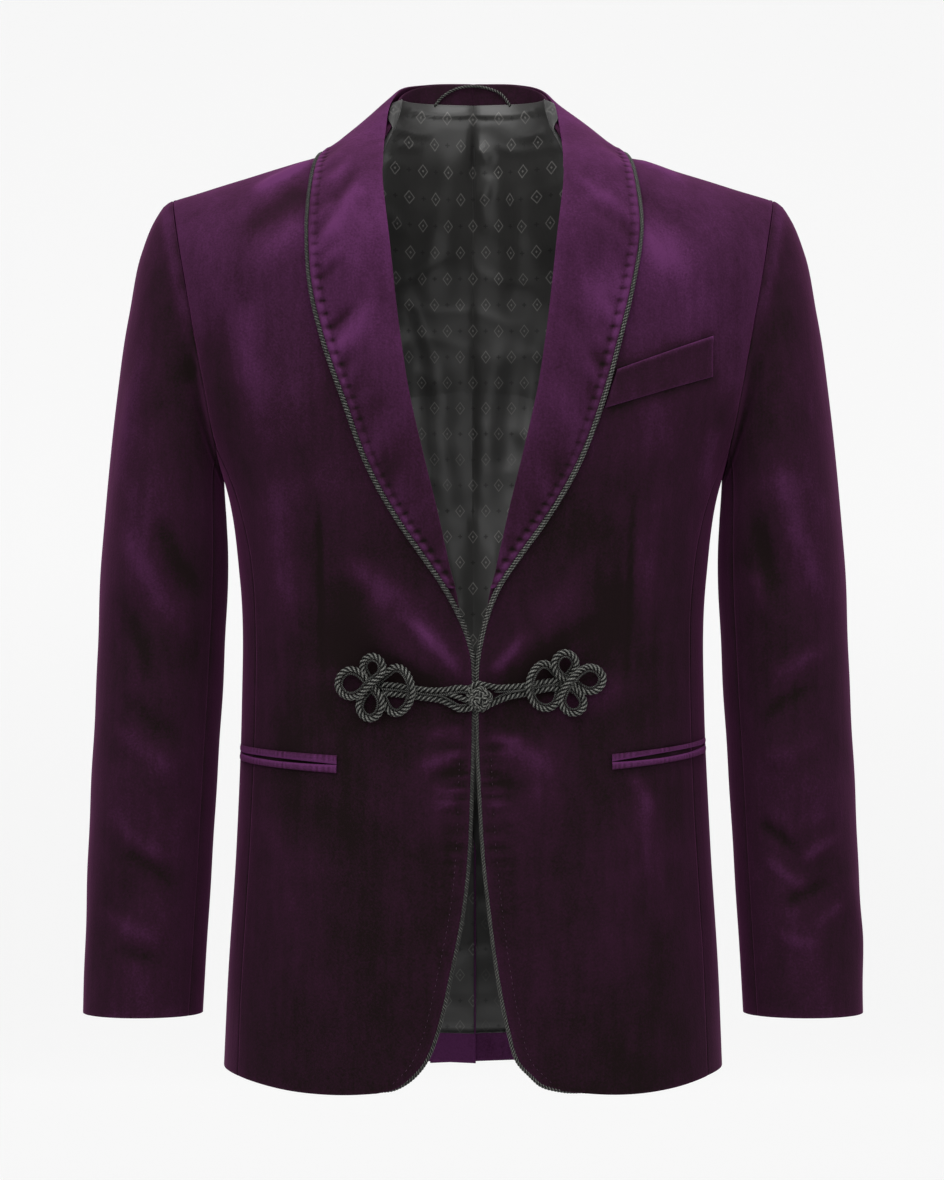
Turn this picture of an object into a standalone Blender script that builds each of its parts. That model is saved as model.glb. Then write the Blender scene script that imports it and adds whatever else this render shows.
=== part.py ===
"""A velvet smoking jacket with a shawl collar, as it hangs filled out on a wearer who is not shown.

Tables and functions work in millimetres; objects are made in metres. +Z is up, the front faces -Y, and
+X is the wearer's left. The origin is the middle of the neck, level with the tops of the shoulders.
"""

import bmesh
import bpy
import numpy as np

MM = 0.001

# Cloth and cord
SEAM_GAP = 0.3
PANEL_WALL = 2.0
SLEEVE_WALL = 1.8
COLLAR_WALL = 2.2
STAND_WALL = 1.8
LINING_WALL = 0.8
TRIM_WALL = 1.6
LAY_CLEAR = 0.9
PIPING_RADIUS = 2.0
PIPING_GAP = 0.6
NECK_CLEAR = 1.4
FROG_RADIUS = 3.1
HANGER_RADIUS = 1.3
CORD_SIDES = 5

# Shoulders and neck
SHOULDER_TIP_X = 237.0
SHOULDER_TIP_Z = -40.0
SHOULDER_SLOPE = 0.296
SHOULDER_DROP = 100.0
RIDGE_Y = 5.0
NECK_HALF_WIDTH = 82.0
NECK_DEPTH = 67.0
NECK_RISE = 34.0
NECK_CURVE = 0.8

# Armhole: the seam lies in one tilted plane, from the underarm to the shoulder tip
UNDERARM_X = 196.0
UNDERARM_Z = -262.0
FRONT_NOTCH_Z = -235.0
BACK_NOTCH_Z = -200.0
SLEEVE_GAP = 0.5

# Side seams, as a share of the half width, and the vent at the middle of the back
FRONT_SEAM_REACH = 0.93
BACK_SEAM_REACH = 0.88
SEAM_DRIFT_END_Z = -340.0
ROUNDNESS = 2.4
VENT_TOP_Z = -525.0
VENT_STEP = 1.5
VENT_RAMP = 28.0
VENT_WIDTH = 70.0
VENT_OVERLAP = 35.0
VENT_UNDERLAP = 2.3

# How edges and rows ease into each other
HEM_BOW = 3.0
HEM_BOW_ROWS = 5
NECK_EASE_DROP = 160.0
VENT_LINING_X = (3.3, 8.0, 16.0, 26.0)
VENT_LINING_TRIM = 1.2
VENT_LINING_DROP = 0.5
PIPING_SINK_Z = -366.0
PIPING_SINK_RUN = 24.0
COLLAR_HOLLOW = 3.0
LAPEL_BELLY = 3.5
LAPEL_BELLY_SHARE = 0.083
STAND_FOOT_LIFT = 1.0
STAND_FOOT_INSET = 0.8
STAND_TOP_DROP = 1.6
STAND_TOP_INSET = 3.2
STAND_END_SHARE = 0.75
SLEEVE_RADIUS = 55.0
SLEEVE_STEPS = np.array([0, 3, 7, 12, 18, 25, 33, 42, 50, 58, 66, 74, 82, 91, 100]) / 100
BACK_STEPS = np.array([0, 8, 16, 24, 31, 36, 46, 60, 74, 88, 100]) / 100


def columns(names, rows):
    """The columns of a table, by name."""
    return dict(zip(names.split(), np.array(rows, float).T))


TORSO = columns("height half_width front_depth back_depth", [
    (-740, 197, 114, 110),
    (-660, 194, 113, 108),
    (-550, 187, 110, 102),
    (-440, 182.5, 106, 94),
    (-340, 184, 112, 98),
    (-262, 196, 120, 106),
    (-200, 224, 122, 110),
    (-120, 242, 116, 108),
    (-40, 258, 110, 104),
    (45, 270, 105, 100),
])

# Front edges as the piping follows them, as distances from the middle towards each front's own side
FRONT_EDGE = columns("height right left side_height", [
    (-733, 72, 84, -725),
    (-729, 58, 58, -719),
    (-721, 47, 46.5, -709),
    (-707, 35.5, 33.7, -694),
    (-682, 26, 26.4, -669),
    (-643, 17, 18.8, -632),
    (-592, 7.2, 12, -584),
    (-542, 2.4, 7, -536),
    (-480, 0.8, 4.3, -477),
    (-439, 0.6, 4.0, -437),
    (-413, 0.6, 4.0, -410),
    (-395, 1.8, 5.4, -389),
    (-371, 8.6, 9.6, -364),
])

# Rows of the back, by their heights at the middle and at the side
BACK_ROWS = columns("middle side", [
    (-734, -726),
    (-726, -719),
    (-711, -706),
    (-690, -686),
    (-664, -660),
    (-625, -622),
    (-584, -582),
    (-564, -562),
    (-552, -550),
    (-530, -529),
    (-482, -482),
    (-430, -432),
    (-378, -382),
    (-326, -336),
    (-274, -292),
    (-222, -246),
    (-166, -200),
    (-110, -152),
    (-62, -110),
    (-24, -78),
    (8, -57),
    (27, -46),
    (36, -41.5),
    (40, -40),
])
SIDE_HEM_Z = -722.0

# Where the lapel rolls back, which is also where the front ends above the break
ROLL_LINE = columns("height reach side_height", [
    (-352, 11.5, -340),
    (-324, 18.5, -310),
    (-285, 27, -270),
    (-245, 36.8, -235),
    (-196, 48, -195),
    (-144, 56, -152),
    (-91, 62, -112),
    (-54, 66, -84),
    (-27, 70, -64),
    (-8, 75, -51),
    (2, 79, -43.5),
    (6.04, 81.5, -40.15),
])

# Outer edge of the lapel, as the piping follows it
LAPEL_EDGE = columns("height right left", [
    (-371, 8.6, 9.6),
    (-352, 18, 16),
    (-328, 33.6, 30.8),
    (-300, 53.2, 51),
    (-270, 70.9, 70),
    (-227, 91, 90.5),
    (-203, 98, 98.4),
    (-170, 110, 108),
    (-133, 120.4, 117),
    (-109, 125, 123),
    (-73, 127, 128.5),
    (-34, 125, 126),
    (0, 120, 121),
])

# The collar from the middle of the back to the front of the shoulder: its roll and its outer edge
COLLAR_BACK = columns("roll_x roll_y roll_z edge_x edge_y", [
    (0, 76, 62, 0, 92),
    (34, 69, 60.5, 46, 86),
    (56, 47, 53, 84, 60),
    (64.5, 20, 39.5, 111, 30),
    (68.5, -28, 12.5, 119, -10),
])

# The collar's stations down the front: the roll's height and the outer edge's height
COLLAR_FRONT = columns("roll_height edge_height", [
    (-37, -36),
    (-75, -74),
    (-115, -114),
    (-155, -158),
    (-196, -203),
    (-245, -256),
    (-286, -296),
    (-318, -322),
    (-346, -346),
])

# Where the collar stand sits on the neck edge, beside each row of COLLAR_BACK
STAND_FOOT = columns("foot_x foot_height", [
    (0, 0),
    (40, 0),
    (66, 0),
    (80.5, 0),
    (77.5, -14),
])

# Sleeve rings from the head to the cuff: the point nearest the body, the outermost point, and the depths
SLEEVE = columns("inner_x inner_z outer_x outer_z middle_y front_depth back_depth", [
    (197, -266, 246.5, -48, 3, 58, 58),
    (196.8, -271, 262, -82, 3, 60, 61),
    (196.4, -277, 272, -132, 3, 62, 63),
    (195.8, -284, 280, -186, 3, 63, 64),
    (195, -293, 287, -250, 3, 64, 65),
    (193.5, -320, 293, -322, 2, 63, 64),
    (196.5, -400, 296.5, -402, 1, 60, 61),
    (201, -480, 300, -482, -3, 56, 57),
    (205.5, -560, 303, -562, -9, 52, 52),
    (210, -640, 305, -640, -17, 48, 48),
    (211.8, -679, 306, -679, -21, 46, 46),
])
FRONT_SLEEVE_SEAM = -145.0
BACK_SLEEVE_SEAM = 122.0

# Largest folds of the fronts: pull lines from the knot and a drag below each pocket. Lengths run from the
# first point to the second; a positive rise is a ridge, a negative one a trough
FRONT_FOLDS = columns("side from_across from_z to_across to_z width rise", [
    (-1, 14, -418, 112, -345, 17, 3.2),
    (-1, 22, -436, 122, -392, 16, -2.6),
    (-1, 20, -455, 84, -548, 17, 2.2),
    (1, 18, -418, 104, -338, 17, 2.8),
    (1, 24, -438, 116, -388, 16, -2.4),
    (1, 22, -452, 78, -540, 17, 2.0),
    (1, 128, -500, 96, -690, 22, 2.6),
    (-1, 130, -520, 112, -700, 24, 2.2),
    (-1, 196, -120, 176, -300, 17, -3.0),
    (1, 196, -120, 174, -300, 17, -3.0),
])

FOLD_FADE = 22.0

# Largest folds of the sleeves. Across is a turn round the sleeve: 0 is outermost, minus is front
SLEEVE_FOLDS = columns("side from_across from_z to_across to_z width rise", [
    (-1, -120, -330, -20, -420, 20, -3.0),
    (-1, -130, -470, -40, -520, 20, 2.6),
    (-1, -100, -560, -30, -640, 18, -2.6),
    (1, -125, -300, -30, -400, 20, -3.0),
    (1, -130, -450, -30, -540, 20, 3.0),
    (1, -120, -540, -40, -620, 18, -3.0),
    (1, -60, -560, 20, -660, 18, 2.4),
    (-1, 60, -380, 130, -440, 20, -2.8),
    (1, 60, -380, 130, -440, 20, -2.8),
])

# Pockets: heights of the jets' top, slit and bottom at the inner end and at the side
JETS = columns("side inner_x top slit bottom side_top side_slit side_bottom", [
    (-1, 104, -473.2, -481.3, -489.3, -466.5, -473.6, -481.0),
    (1, 106, -472.2, -479.2, -486.6, -460.8, -466.6, -474.4),
])
JET_END_TURN = 84.0
JET_GAP = 0.3
WELT = columns("x top bottom", [
    (109.4, -179.5, -209.0),
    (183.6, -152.0, -183.3),
])
WELT_SLANT = 9.6

# The frogs: cord heads laid flat on the fronts and a ball knot at the middle. Across runs outwards from the
# head's middle, up is up, and layer counts cord thicknesses above the cloth
KNOT = {"x": 6.0, "z": -429.7, "radius": 9.3, "thickness": 6.4, "seat": 0.9}
FROG_SETTING = columns("side head_across head_up eye_top eye_bottom", [
    (-1, 78.5, 8.2, 5.6, -7.8),
    (1, 63.0, 10.6, 5.6, -4.2),
])
STEM_MIDDLE = 17.0
HEAD_CORD = columns("across up", [
    (-15, 2.3),
    (-8.8, 3.2),
    (-4.6, 7.2),
    (-3.6, 12.5),
    (-3.8, 18),
    (-0.8, 23),
    (4.6, 24.8),
    (10.0, 21.6),
    (11.4, 15.2),
    (8.8, 8.6),
    (7.4, 1.4),
    (10.8, -6),
    (13.6, -13.4),
    (11, -20.8),
    (5, -23.8),
    (-0.8, -20.6),
    (-2.8, -14.6),
    (-4.6, -9),
    (-9, -5.6),
    (-15, -4.9),
])
HEAD_CROWN = columns("across up layer", [
    (14.6, 8.0, 0.8),
    (19.8, 14.2, 0.1),
    (26.8, 12.2, 0),
    (30.2, 5.4, 0),
    (29, -2.2, 0),
    (23.8, -7.2, 0.2),
    (16.8, -6.8, 0.75),
    (9.9, -2.2, 1.06),
    (3.8, 3.1, 1.06),
    (-1.6, 9.2, 1.06),
    (-6.9, 14.6, 1.06),
    (-12.4, 17.6, 0.65),
    (-19.2, 16.8, 0.3),
    (-24.6, 13, 0.7),
    (-27.4, 6.8, 1.06),
    (-28.4, -1.4, 1.06),
    (-26.8, -9.8, 1.06),
    (-21.6, -17.4, 0.75),
    (-14.6, -20.8, 0.15),
    (-8.6, -18.8, 0),
])
LAYER_HEIGHT = 6.6
STEM_CLEAR = 1.7

HANGER = columns("x z", [
    (-31, 43.5),
    (-24, 50),
    (-13, 56.5),
    (0, 58.6),
    (13, 56.5),
    (23, 51.5),
    (29, 46),
])

SIDES = {"right": -1, "left": 1}

COLOURS = {
    "velvet": ((0.045, 0.008, 0.046, 1), 0.85),
    "lining": ((0.026, 0.026, 0.025, 1), 0.35),
    "cord": ((0.042, 0.043, 0.039, 1), 0.55),
}


def through(stations, values):
    """A smooth function that passes through every row of a table."""
    stations = np.asarray(stations, float)
    values = np.asarray(values, float)
    slopes = np.gradient(values, stations, axis=0)

    def at(station):
        station = np.clip(np.asarray(station, float), stations[0], stations[-1])
        low = np.clip(np.searchsorted(stations, station, side="right") - 1, 0, len(stations) - 2)
        wide = np.shape(low) + (1,) * (values.ndim - 1)
        span = np.reshape(stations[low + 1] - stations[low], wide)
        share = np.reshape(station - stations[low], wide) / span
        keep = (1 + 2 * share) * (1 - share) ** 2
        gain = share ** 2 * (3 - 2 * share)
        lead = share * (1 - share) ** 2 * span
        trail = share ** 2 * (share - 1) * span
        return keep * values[low] + gain * values[low + 1] + lead * slopes[low] + trail * slopes[low + 1]

    return at


half_width = through(TORSO["height"], TORSO["half_width"])
front_depth = through(TORSO["height"], TORSO["front_depth"])
back_depth = through(TORSO["height"], TORSO["back_depth"])


def ease(share):
    """From 0 to 1 with level ends."""
    share = np.clip(share, 0, 1)
    return share * share * (3 - 2 * share)


def blend(first, second, share):
    return first + (second - first) * share


def armhole_x(z):
    """The armhole plane's distance from the middle at a height."""
    rise = (z - UNDERARM_Z) / (SHOULDER_TIP_Z - UNDERARM_Z)
    return blend(UNDERARM_X, SHOULDER_TIP_X, rise)


def shoulder_line(x):
    return SHOULDER_TIP_Z + (SHOULDER_TIP_X - np.abs(x)) * SHOULDER_SLOPE


def neck_share(x):
    return np.clip(1 - (np.abs(x) / NECK_HALF_WIDTH) ** 2, 0, 1)


def ring_depth(x, z, depth):
    reach = np.clip(np.abs(x) / half_width(z), 0, 0.9999)
    return depth * (1 - reach ** ROUNDNESS) ** (1 / ROUNDNESS)


def arch(drop):
    """How far the cloth has rounded over the shoulder at a drop below its ridge."""
    rest = 1 - np.clip(drop / SHOULDER_DROP, 0, 1)
    return np.sqrt(1 - rest ** 2)


def fold_rise(folds, side, across, height):
    """Sum of the soft ridges and troughs of one side at a place on its cloth."""
    total = np.zeros_like(across * 1.0)
    for row in range(len(folds["side"])):
        fold = {name: values[row] for name, values in folds.items()}
        if fold["side"] != side:
            continue
        start = np.array([fold["from_across"], fold["from_z"]])
        run = np.array([fold["to_across"], fold["to_z"]]) - start
        length = np.hypot(*run)
        along = ((across - start[0]) * run[0] + (height - start[1]) * run[1]) / length ** 2
        apart = ((across - start[0]) * run[1] - (height - start[1]) * run[0]) / length
        fade = ease(along / 0.25) * ease((1 - along) / 0.45)
        total = total + fold["rise"] * fade * np.exp(-(apart / fold["width"]) ** 2)
    return total


def front_y(x, z):
    depth = ring_depth(x, z, front_depth(z))
    flat = RIDGE_Y - (depth + RIDGE_Y) * arch(shoulder_line(x) - z)
    side = np.where(x < 0, -1, 1)
    rise = np.where(
        side < 0,
        fold_rise(FRONT_FOLDS, -1, -x, z),
        fold_rise(FRONT_FOLDS, 1, x, z),
    )
    return flat - rise * ease((panel_side_x(z, FRONT_NOTCH_Z, FRONT_SEAM_REACH) - np.abs(x)) / FOLD_FADE)


def neck_ridge(x):
    """Depth and height of the back's top line: the neck edge, then the shoulder seam."""
    share = neck_share(x)
    ridge_z = shoulder_line(np.maximum(np.abs(x), NECK_HALF_WIDTH)) + NECK_RISE * share
    return RIDGE_Y + NECK_DEPTH * share ** NECK_CURVE, ridge_z


def back_y(x, z, layer=0.0):
    """The back's depth. A layer of 1 or -1 is the outer or inner leaf of the vent."""
    ridge_y, ridge_z = neck_ridge(x)
    depth = ring_depth(x, z, back_depth(z))
    step = VENT_STEP * layer * ease((VENT_TOP_Z - z) / VENT_RAMP) * ease(2 - 2 * np.abs(x) / VENT_WIDTH)
    return ridge_y + (depth - ridge_y) * arch(ridge_z - z) + step


def moved_out(surface, x, z, out, outward, top):
    """Points of a front or back, moved out along its normal. On the top line they move straight up."""
    step = 1.0
    y = surface(x, z)
    slope_x = (surface(x + step, z) - surface(x - step, z)) / (2 * step)
    slope_z = (y - surface(x, z - step)) / step
    normal = np.stack([-slope_x, np.ones_like(y), -slope_z], -1) * outward
    normal /= np.linalg.norm(normal, axis=-1, keepdims=True)
    on_top = (top - z < 0.5)[..., None]
    normal = np.where(on_top, np.array([0.0, 0.0, 1.0]), normal)
    return np.stack([x, y, z], -1) + normal * np.asarray(out)[..., None]


def front_point(x, z, out=0.0):
    x, z = np.broadcast_arrays(np.asarray(x, float), np.asarray(z, float))
    return moved_out(front_y, x, z, out, -1, shoulder_line(x))


def back_point(x, z, out=0.0, layer=0.0):
    x, z = np.broadcast_arrays(np.asarray(x, float), np.asarray(z, float))
    return moved_out(lambda a, b: back_y(a, b, layer), x, z, out, 1, neck_ridge(x)[1])


def turn_of(reach):
    """The turn round the body, from the front, whose distance out is this share of the half width."""
    return np.arcsin(np.clip(reach, 0, 1) ** (ROUNDNESS / 2))


def ring_point(turn, z, out=0.0):
    """A point of the body below the armholes, by its turn from the middle of the front to the back."""
    def place(angle, height):
        x = half_width(height) * np.sin(angle) ** (2 / ROUNDNESS)
        cosine = np.cos(angle)
        depth = np.where(cosine > 0, -front_depth(height), back_depth(height))
        return np.stack([x, depth * np.abs(cosine) ** (2 / ROUNDNESS), height + 0 * x], -1)

    turn, z = np.broadcast_arrays(np.asarray(turn, float), np.asarray(z, float))
    step = 0.01
    around = place(turn + step, z) - place(turn - step, z)
    along = place(turn, z + 1) - place(turn, z - 1)
    normal = np.cross(around, along)
    normal /= np.linalg.norm(normal, axis=-1, keepdims=True)
    return place(turn, z) + normal * np.asarray(out)[..., None]


def seam_reach(z, notch_z, lower_reach):
    """Share of the half width where a side seam runs: from the notch it drifts to its lower place."""
    notch_reach = armhole_x(notch_z) / half_width(notch_z)
    return blend(lower_reach, notch_reach, ease((z - SEAM_DRIFT_END_Z) / (notch_z - SEAM_DRIFT_END_Z)))


def panel_side_x(z, notch_z, lower_reach):
    """Outer edge of a front or back: the side seam up to its notch, then the armhole."""
    return np.where(z < notch_z, seam_reach(z, notch_z, lower_reach) * half_width(z), armhole_x(z))


def mirrored(points, side):
    """Points made for the wearer's left, put on the side asked for."""
    return points * np.array([side, 1, 1])


def shoulder_top(x, y):
    """Height of the cloth over the shoulder at a place in plan."""
    level = SHOULDER_TIP_Z
    ridge_y, ridge_z = neck_ridge(x)
    before = (RIDGE_Y - y) / (RIDGE_Y + ring_depth(x, level, front_depth(level)))
    behind = (y - ridge_y) / (ring_depth(x, level, back_depth(level)) - ridge_y)
    share = np.clip(np.where(y < RIDGE_Y, before, behind), 0, 1)
    top = np.where(y < RIDGE_Y, shoulder_line(x), ridge_z)
    return top - SHOULDER_DROP * (1 - np.sqrt(1 - share ** 2))


def material(name):
    """The Principled material of one finish, made the first time it is asked for."""
    found = bpy.data.materials.get(name)
    if found:
        return found
    colour, roughness = COLOURS[name]
    made = bpy.data.materials.new(name)
    made.use_nodes = True
    shader = made.node_tree.nodes["Principled BSDF"]
    shader.inputs["Base Color"].default_value = colour
    shader.inputs["Roughness"].default_value = roughness
    shader.inputs["Metallic"].default_value = 0.0
    return made


def solid(name, points, faces, finish):
    """One closed body from points in millimetres."""
    mesh = bpy.data.meshes.new(name)
    mesh.from_pydata((points * MM).tolist(), [], [tuple(int(i) for i in face) for face in faces])
    shape = bmesh.new()
    shape.from_mesh(mesh)
    if shape.calc_volume(signed=True) < 0:
        bmesh.ops.reverse_faces(shape, faces=shape.faces)
    shape.to_mesh(mesh)
    shape.free()
    mesh.shade_smooth()
    mesh.set_sharp_from_angle(angle=np.radians(50))
    mesh.materials.append(material(finish))
    made = bpy.data.objects.new(name, mesh)
    bpy.context.scene.collection.objects.link(made)
    return made


def wall(name, outer, inner, finish):
    """A closed wall between two grids of points with the same rows and columns."""
    rows, cols = outer.shape[:2]
    count = rows * cols
    index = np.arange(count).reshape(rows, cols)
    quads = np.stack([index[:-1, :-1], index[:-1, 1:], index[1:, 1:], index[1:, :-1]], -1).reshape(-1, 4)
    edge = np.concatenate([index[0, :-1], index[:-1, -1], index[-1, :0:-1], index[:0:-1, 0]])
    after = np.roll(edge, -1)
    rim = np.stack([edge, edge + count, after + count, after], -1)
    faces = np.concatenate([quads, quads[:, [0, 3, 2, 1]] + count, rim])
    points = np.concatenate([outer.reshape(-1, 3), inner.reshape(-1, 3)])
    return solid(name, points, faces, finish)


def cord(name, path, radius, finish):
    """A round cord along a path, with flat ends."""
    path = np.asarray(path, float)
    along = np.gradient(path, axis=0)
    along /= np.linalg.norm(along, axis=1, keepdims=True)
    across = np.cross(along, np.array([0.0, -1.0, 0.0]))
    weak = np.linalg.norm(across, axis=1) < 1e-3
    across[weak] = (1.0, 0.0, 0.0)
    across /= np.linalg.norm(across, axis=1, keepdims=True)
    lift = np.cross(along, across)
    turns = np.arange(CORD_SIDES) * 2 * np.pi / CORD_SIDES
    ring = across[:, None] * np.cos(turns)[:, None] + lift[:, None] * np.sin(turns)[:, None]
    points = path[:, None] + ring * radius
    index = np.arange(len(path) * CORD_SIDES).reshape(-1, CORD_SIDES)
    turned = np.roll(index, -1, axis=1)
    quads = np.stack([index[:-1], turned[:-1], turned[1:], index[1:]], -1).reshape(-1, 4)
    faces = [*quads, index[0][::-1], index[-1]]
    return solid(name, points.reshape(-1, 3), faces, finish)


def even_path(points, spacing, bend):
    """A smooth curve through a few points, read at an even spacing and closer where it bends."""
    points = np.asarray(points, float)
    steps = np.linalg.norm(np.diff(points, axis=0), axis=1)
    station = np.concatenate([[0], np.cumsum(steps)])
    fine = through(station, points)(np.linspace(0, station[-1], 40 * len(points)))
    step = np.diff(fine, axis=0)
    length = np.linalg.norm(step, axis=1)
    heading = step / length[:, None]
    turn = np.arccos(np.clip(np.sum(heading[1:] * heading[:-1], axis=1), -1, 1))
    effort = length / spacing + np.concatenate([[0], turn]) / np.radians(bend)
    run = np.concatenate([[0], np.cumsum(effort)])
    wanted = np.linspace(0, run[-1], int(np.ceil(run[-1])) + 1)
    return np.stack([np.interp(wanted, run, fine[:, axis]) for axis in range(3)], -1)


def front_outline(side_name):
    """Inner and outer ends of a front's rows, from the hem to the shoulder, as (x, z) pairs."""
    run_x, run_z = np.gradient(FRONT_EDGE[side_name]), np.gradient(FRONT_EDGE["height"])
    keep_off = (PIPING_RADIUS + PIPING_GAP) / np.hypot(run_x, run_z)
    edge_x = np.concatenate([FRONT_EDGE[side_name] + run_z * keep_off, ROLL_LINE["reach"] + 1.0])
    edge_z = np.concatenate([FRONT_EDGE["height"] - run_x * keep_off, ROLL_LINE["height"]])
    edge_z[-1] = shoulder_line(edge_x[-1])
    side_z = np.concatenate([FRONT_EDGE["side_height"], ROLL_LINE["side_height"]])
    side_x = panel_side_x(side_z, FRONT_NOTCH_Z, FRONT_SEAM_REACH)
    side_z[-1] = shoulder_line(side_x[-1])
    return edge_x, edge_z, side_x, side_z


def make_front(side_name, side):
    edge_x, edge_z, side_x, side_z = front_outline(side_name)
    share = np.linspace(0, 1, 11)
    rows = np.arange(len(edge_x))[:, None]
    side_x = side_x - SEAM_GAP / 2
    x = blend(edge_x[:, None], side_x[:, None], share)
    bow = HEM_BOW * np.clip(1 - rows / HEM_BOW_ROWS, 0, 1) * 4 * share * (1 - share)
    z = blend(edge_z[:, None], side_z[:, None], share) - bow
    outer = front_point(side * x, z)
    inner = front_point(side * x, z, -PANEL_WALL)
    seam = np.array([0, -SEAM_GAP / 2, 0])
    outer[-1] += seam
    inner[-1] += seam
    return wall(f"front_{side_name}", outer, inner, "velvet")


def make_side(side_name, side):
    """The side panel, from the front seam round to the back seam, with the underarm as its top edge."""
    share = np.linspace(-1, 1, 7)
    front_z = front_outline(side_name)[3]
    front_z = front_z[front_z <= FRONT_NOTCH_Z][:, None]
    back_z = BACK_ROWS["side"][BACK_ROWS["side"] <= BACK_NOTCH_Z][:, None]
    middle_z = blend(SIDE_HEM_Z, UNDERARM_Z, (front_z - front_z[0]) / (front_z[-1] - front_z[0]))
    z = blend(middle_z, np.where(share < 0, front_z, back_z), share ** 2)
    front_turn = turn_of(seam_reach(z, FRONT_NOTCH_Z, FRONT_SEAM_REACH))
    back_turn = np.pi - turn_of(seam_reach(z, BACK_NOTCH_Z, BACK_SEAM_REACH))
    turn = np.where(share < 0, blend(np.pi / 2, front_turn, -share), blend(np.pi / 2, back_turn, share))
    top_turn = turn_of(armhole_x(z[-1]) / half_width(z[-1]))
    top_turn = np.where(share < 0, top_turn, np.pi - top_turn)
    rise = (z - z[0]) / (z[-1] - z[0])
    turn = turn + (top_turn - turn[-1]) * rise ** 4
    trim = SEAM_GAP / 2 / front_depth(z)
    turn[:, 0] += trim[:, 0]
    turn[:, -1] -= trim[:, -1]
    outer = mirrored(ring_point(turn, z), side)
    inner = mirrored(ring_point(turn, z, -PANEL_WALL), side)
    return wall(f"side_{side_name}", outer, inner, "velvet")


def back_grid(side_name):
    """Rows and columns of a back: x towards its own side, and heights, from the hem to the neck."""
    middle_z, side_z = BACK_ROWS["middle"].copy(), BACK_ROWS["side"].copy()
    middle_z[-1], side_z[-1] = neck_ridge(0.0)[1], SHOULDER_TIP_Z
    side_x = panel_side_x(side_z, BACK_NOTCH_Z, BACK_SEAM_REACH)
    in_vent = middle_z < VENT_TOP_Z - VENT_RAMP
    overlap = VENT_OVERLAP if side_name == "left" else VENT_UNDERLAP
    middle_x = np.where(in_vent, -overlap, SEAM_GAP / 2)
    x = blend(middle_x[:, None], (side_x - SEAM_GAP / 2)[:, None], BACK_STEPS)
    z = blend(middle_z[:, None], side_z[:, None], BACK_STEPS)
    drop_middle = neck_ridge(0.0)[1] - middle_z
    near_top = ease(1 - drop_middle / NECK_EASE_DROP)[:, None]
    drop = blend(drop_middle[:, None], (shoulder_line(side_x) - side_z)[:, None], BACK_STEPS)
    under_ridge = neck_ridge(x)[1] - np.maximum(drop, 0)
    return x, blend(z, under_ridge, near_top)


def make_back(side_name, side):
    x, z = back_grid(side_name)
    outer = back_point(side * x, z, 0.0, side)
    inner = back_point(side * x, z, -PANEL_WALL, side)
    seam = np.array([0, SEAM_GAP / 2, 0])
    outer[-1] += seam
    inner[-1] += seam
    return wall(f"back_{side_name}", outer, inner, "velvet")


def make_lining(side_name, side):
    """The satin back lining: the back's own points, moved in behind its cloth, from above the hem up."""
    x, z = back_grid(side_name)
    x, z = x[2:].copy(), z[2:].copy()
    in_vent = z[:, 0] < VENT_TOP_Z
    if side > 0:
        for column, least in enumerate(VENT_LINING_X):
            x[:, column] = np.where(in_vent, np.maximum(x[:, column], least), x[:, column])
    else:
        x[:, 0] += np.where(in_vent, VENT_LINING_TRIM, 0)
    depth = -(PANEL_WALL + SEAM_GAP) - VENT_LINING_DROP * ease((VENT_TOP_Z - z) / VENT_RAMP)
    outer = back_point(side * x, z, depth, side)
    inner = back_point(side * x, z, depth - LINING_WALL, side)
    return wall(f"lining_back_{side_name}", outer, inner, "lining")


def armhole_loop(turn):
    """The armhole seam by turn: 0 at the shoulder tip, then minus through the front to the underarm."""
    height = blend(UNDERARM_Z, SHOULDER_TIP_Z, (1 + np.cos(turn)) / 2)
    x = armhole_x(height)
    front = RIDGE_Y - (ring_depth(x, height, front_depth(height)) + RIDGE_Y) * arch(shoulder_line(x) - height)
    back = RIDGE_Y + (ring_depth(x, height, back_depth(height)) - RIDGE_Y) * arch(shoulder_line(x) - height)
    return np.stack([x + SLEEVE_GAP, np.where(turn < 0, front, back), height], -1)


def sleeve_rings(turns, shares, side):
    """Rings of a sleeve from the armhole to the cuff and the way out from each, on the wearer's left."""
    inner = np.stack([SLEEVE["inner_x"], SLEEVE["middle_y"], SLEEVE["inner_z"]], -1)
    outer = np.stack([SLEEVE["outer_x"], SLEEVE["middle_y"], SLEEVE["outer_z"]], -1)
    middle = (inner + outer) / 2
    half = (outer - inner) / 2
    depth = np.where(turns < 0, SLEEVE["front_depth"][:, None], SLEEVE["back_depth"][:, None])
    rings = middle[:, None] + half[:, None] * np.cos(turns)[:, None]
    rings[..., 1] += depth * np.sin(turns)
    head_middle = np.array([[(UNDERARM_X + SHOULDER_TIP_X) / 2 + SLEEVE_GAP, RIDGE_Y,
                             (UNDERARM_Z + SHOULDER_TIP_Z) / 2]])
    rings = np.concatenate([armhole_loop(turns)[None], rings])
    middle = np.concatenate([head_middle, middle])
    station = np.concatenate([[0], np.cumsum(np.linalg.norm(np.diff(middle, axis=0), axis=1))])
    points = through(station, rings)(shares * station[-1])
    centre = through(station, middle)(shares * station[-1])[:, None]
    out = points - centre
    out /= np.linalg.norm(out, axis=-1, keepdims=True)
    turn_grid = np.broadcast_to(np.degrees(turns), points.shape[:2])
    rise = fold_rise(SLEEVE_FOLDS, side, turn_grid, points[..., 2])
    return points + out * rise[..., None], out


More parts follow.
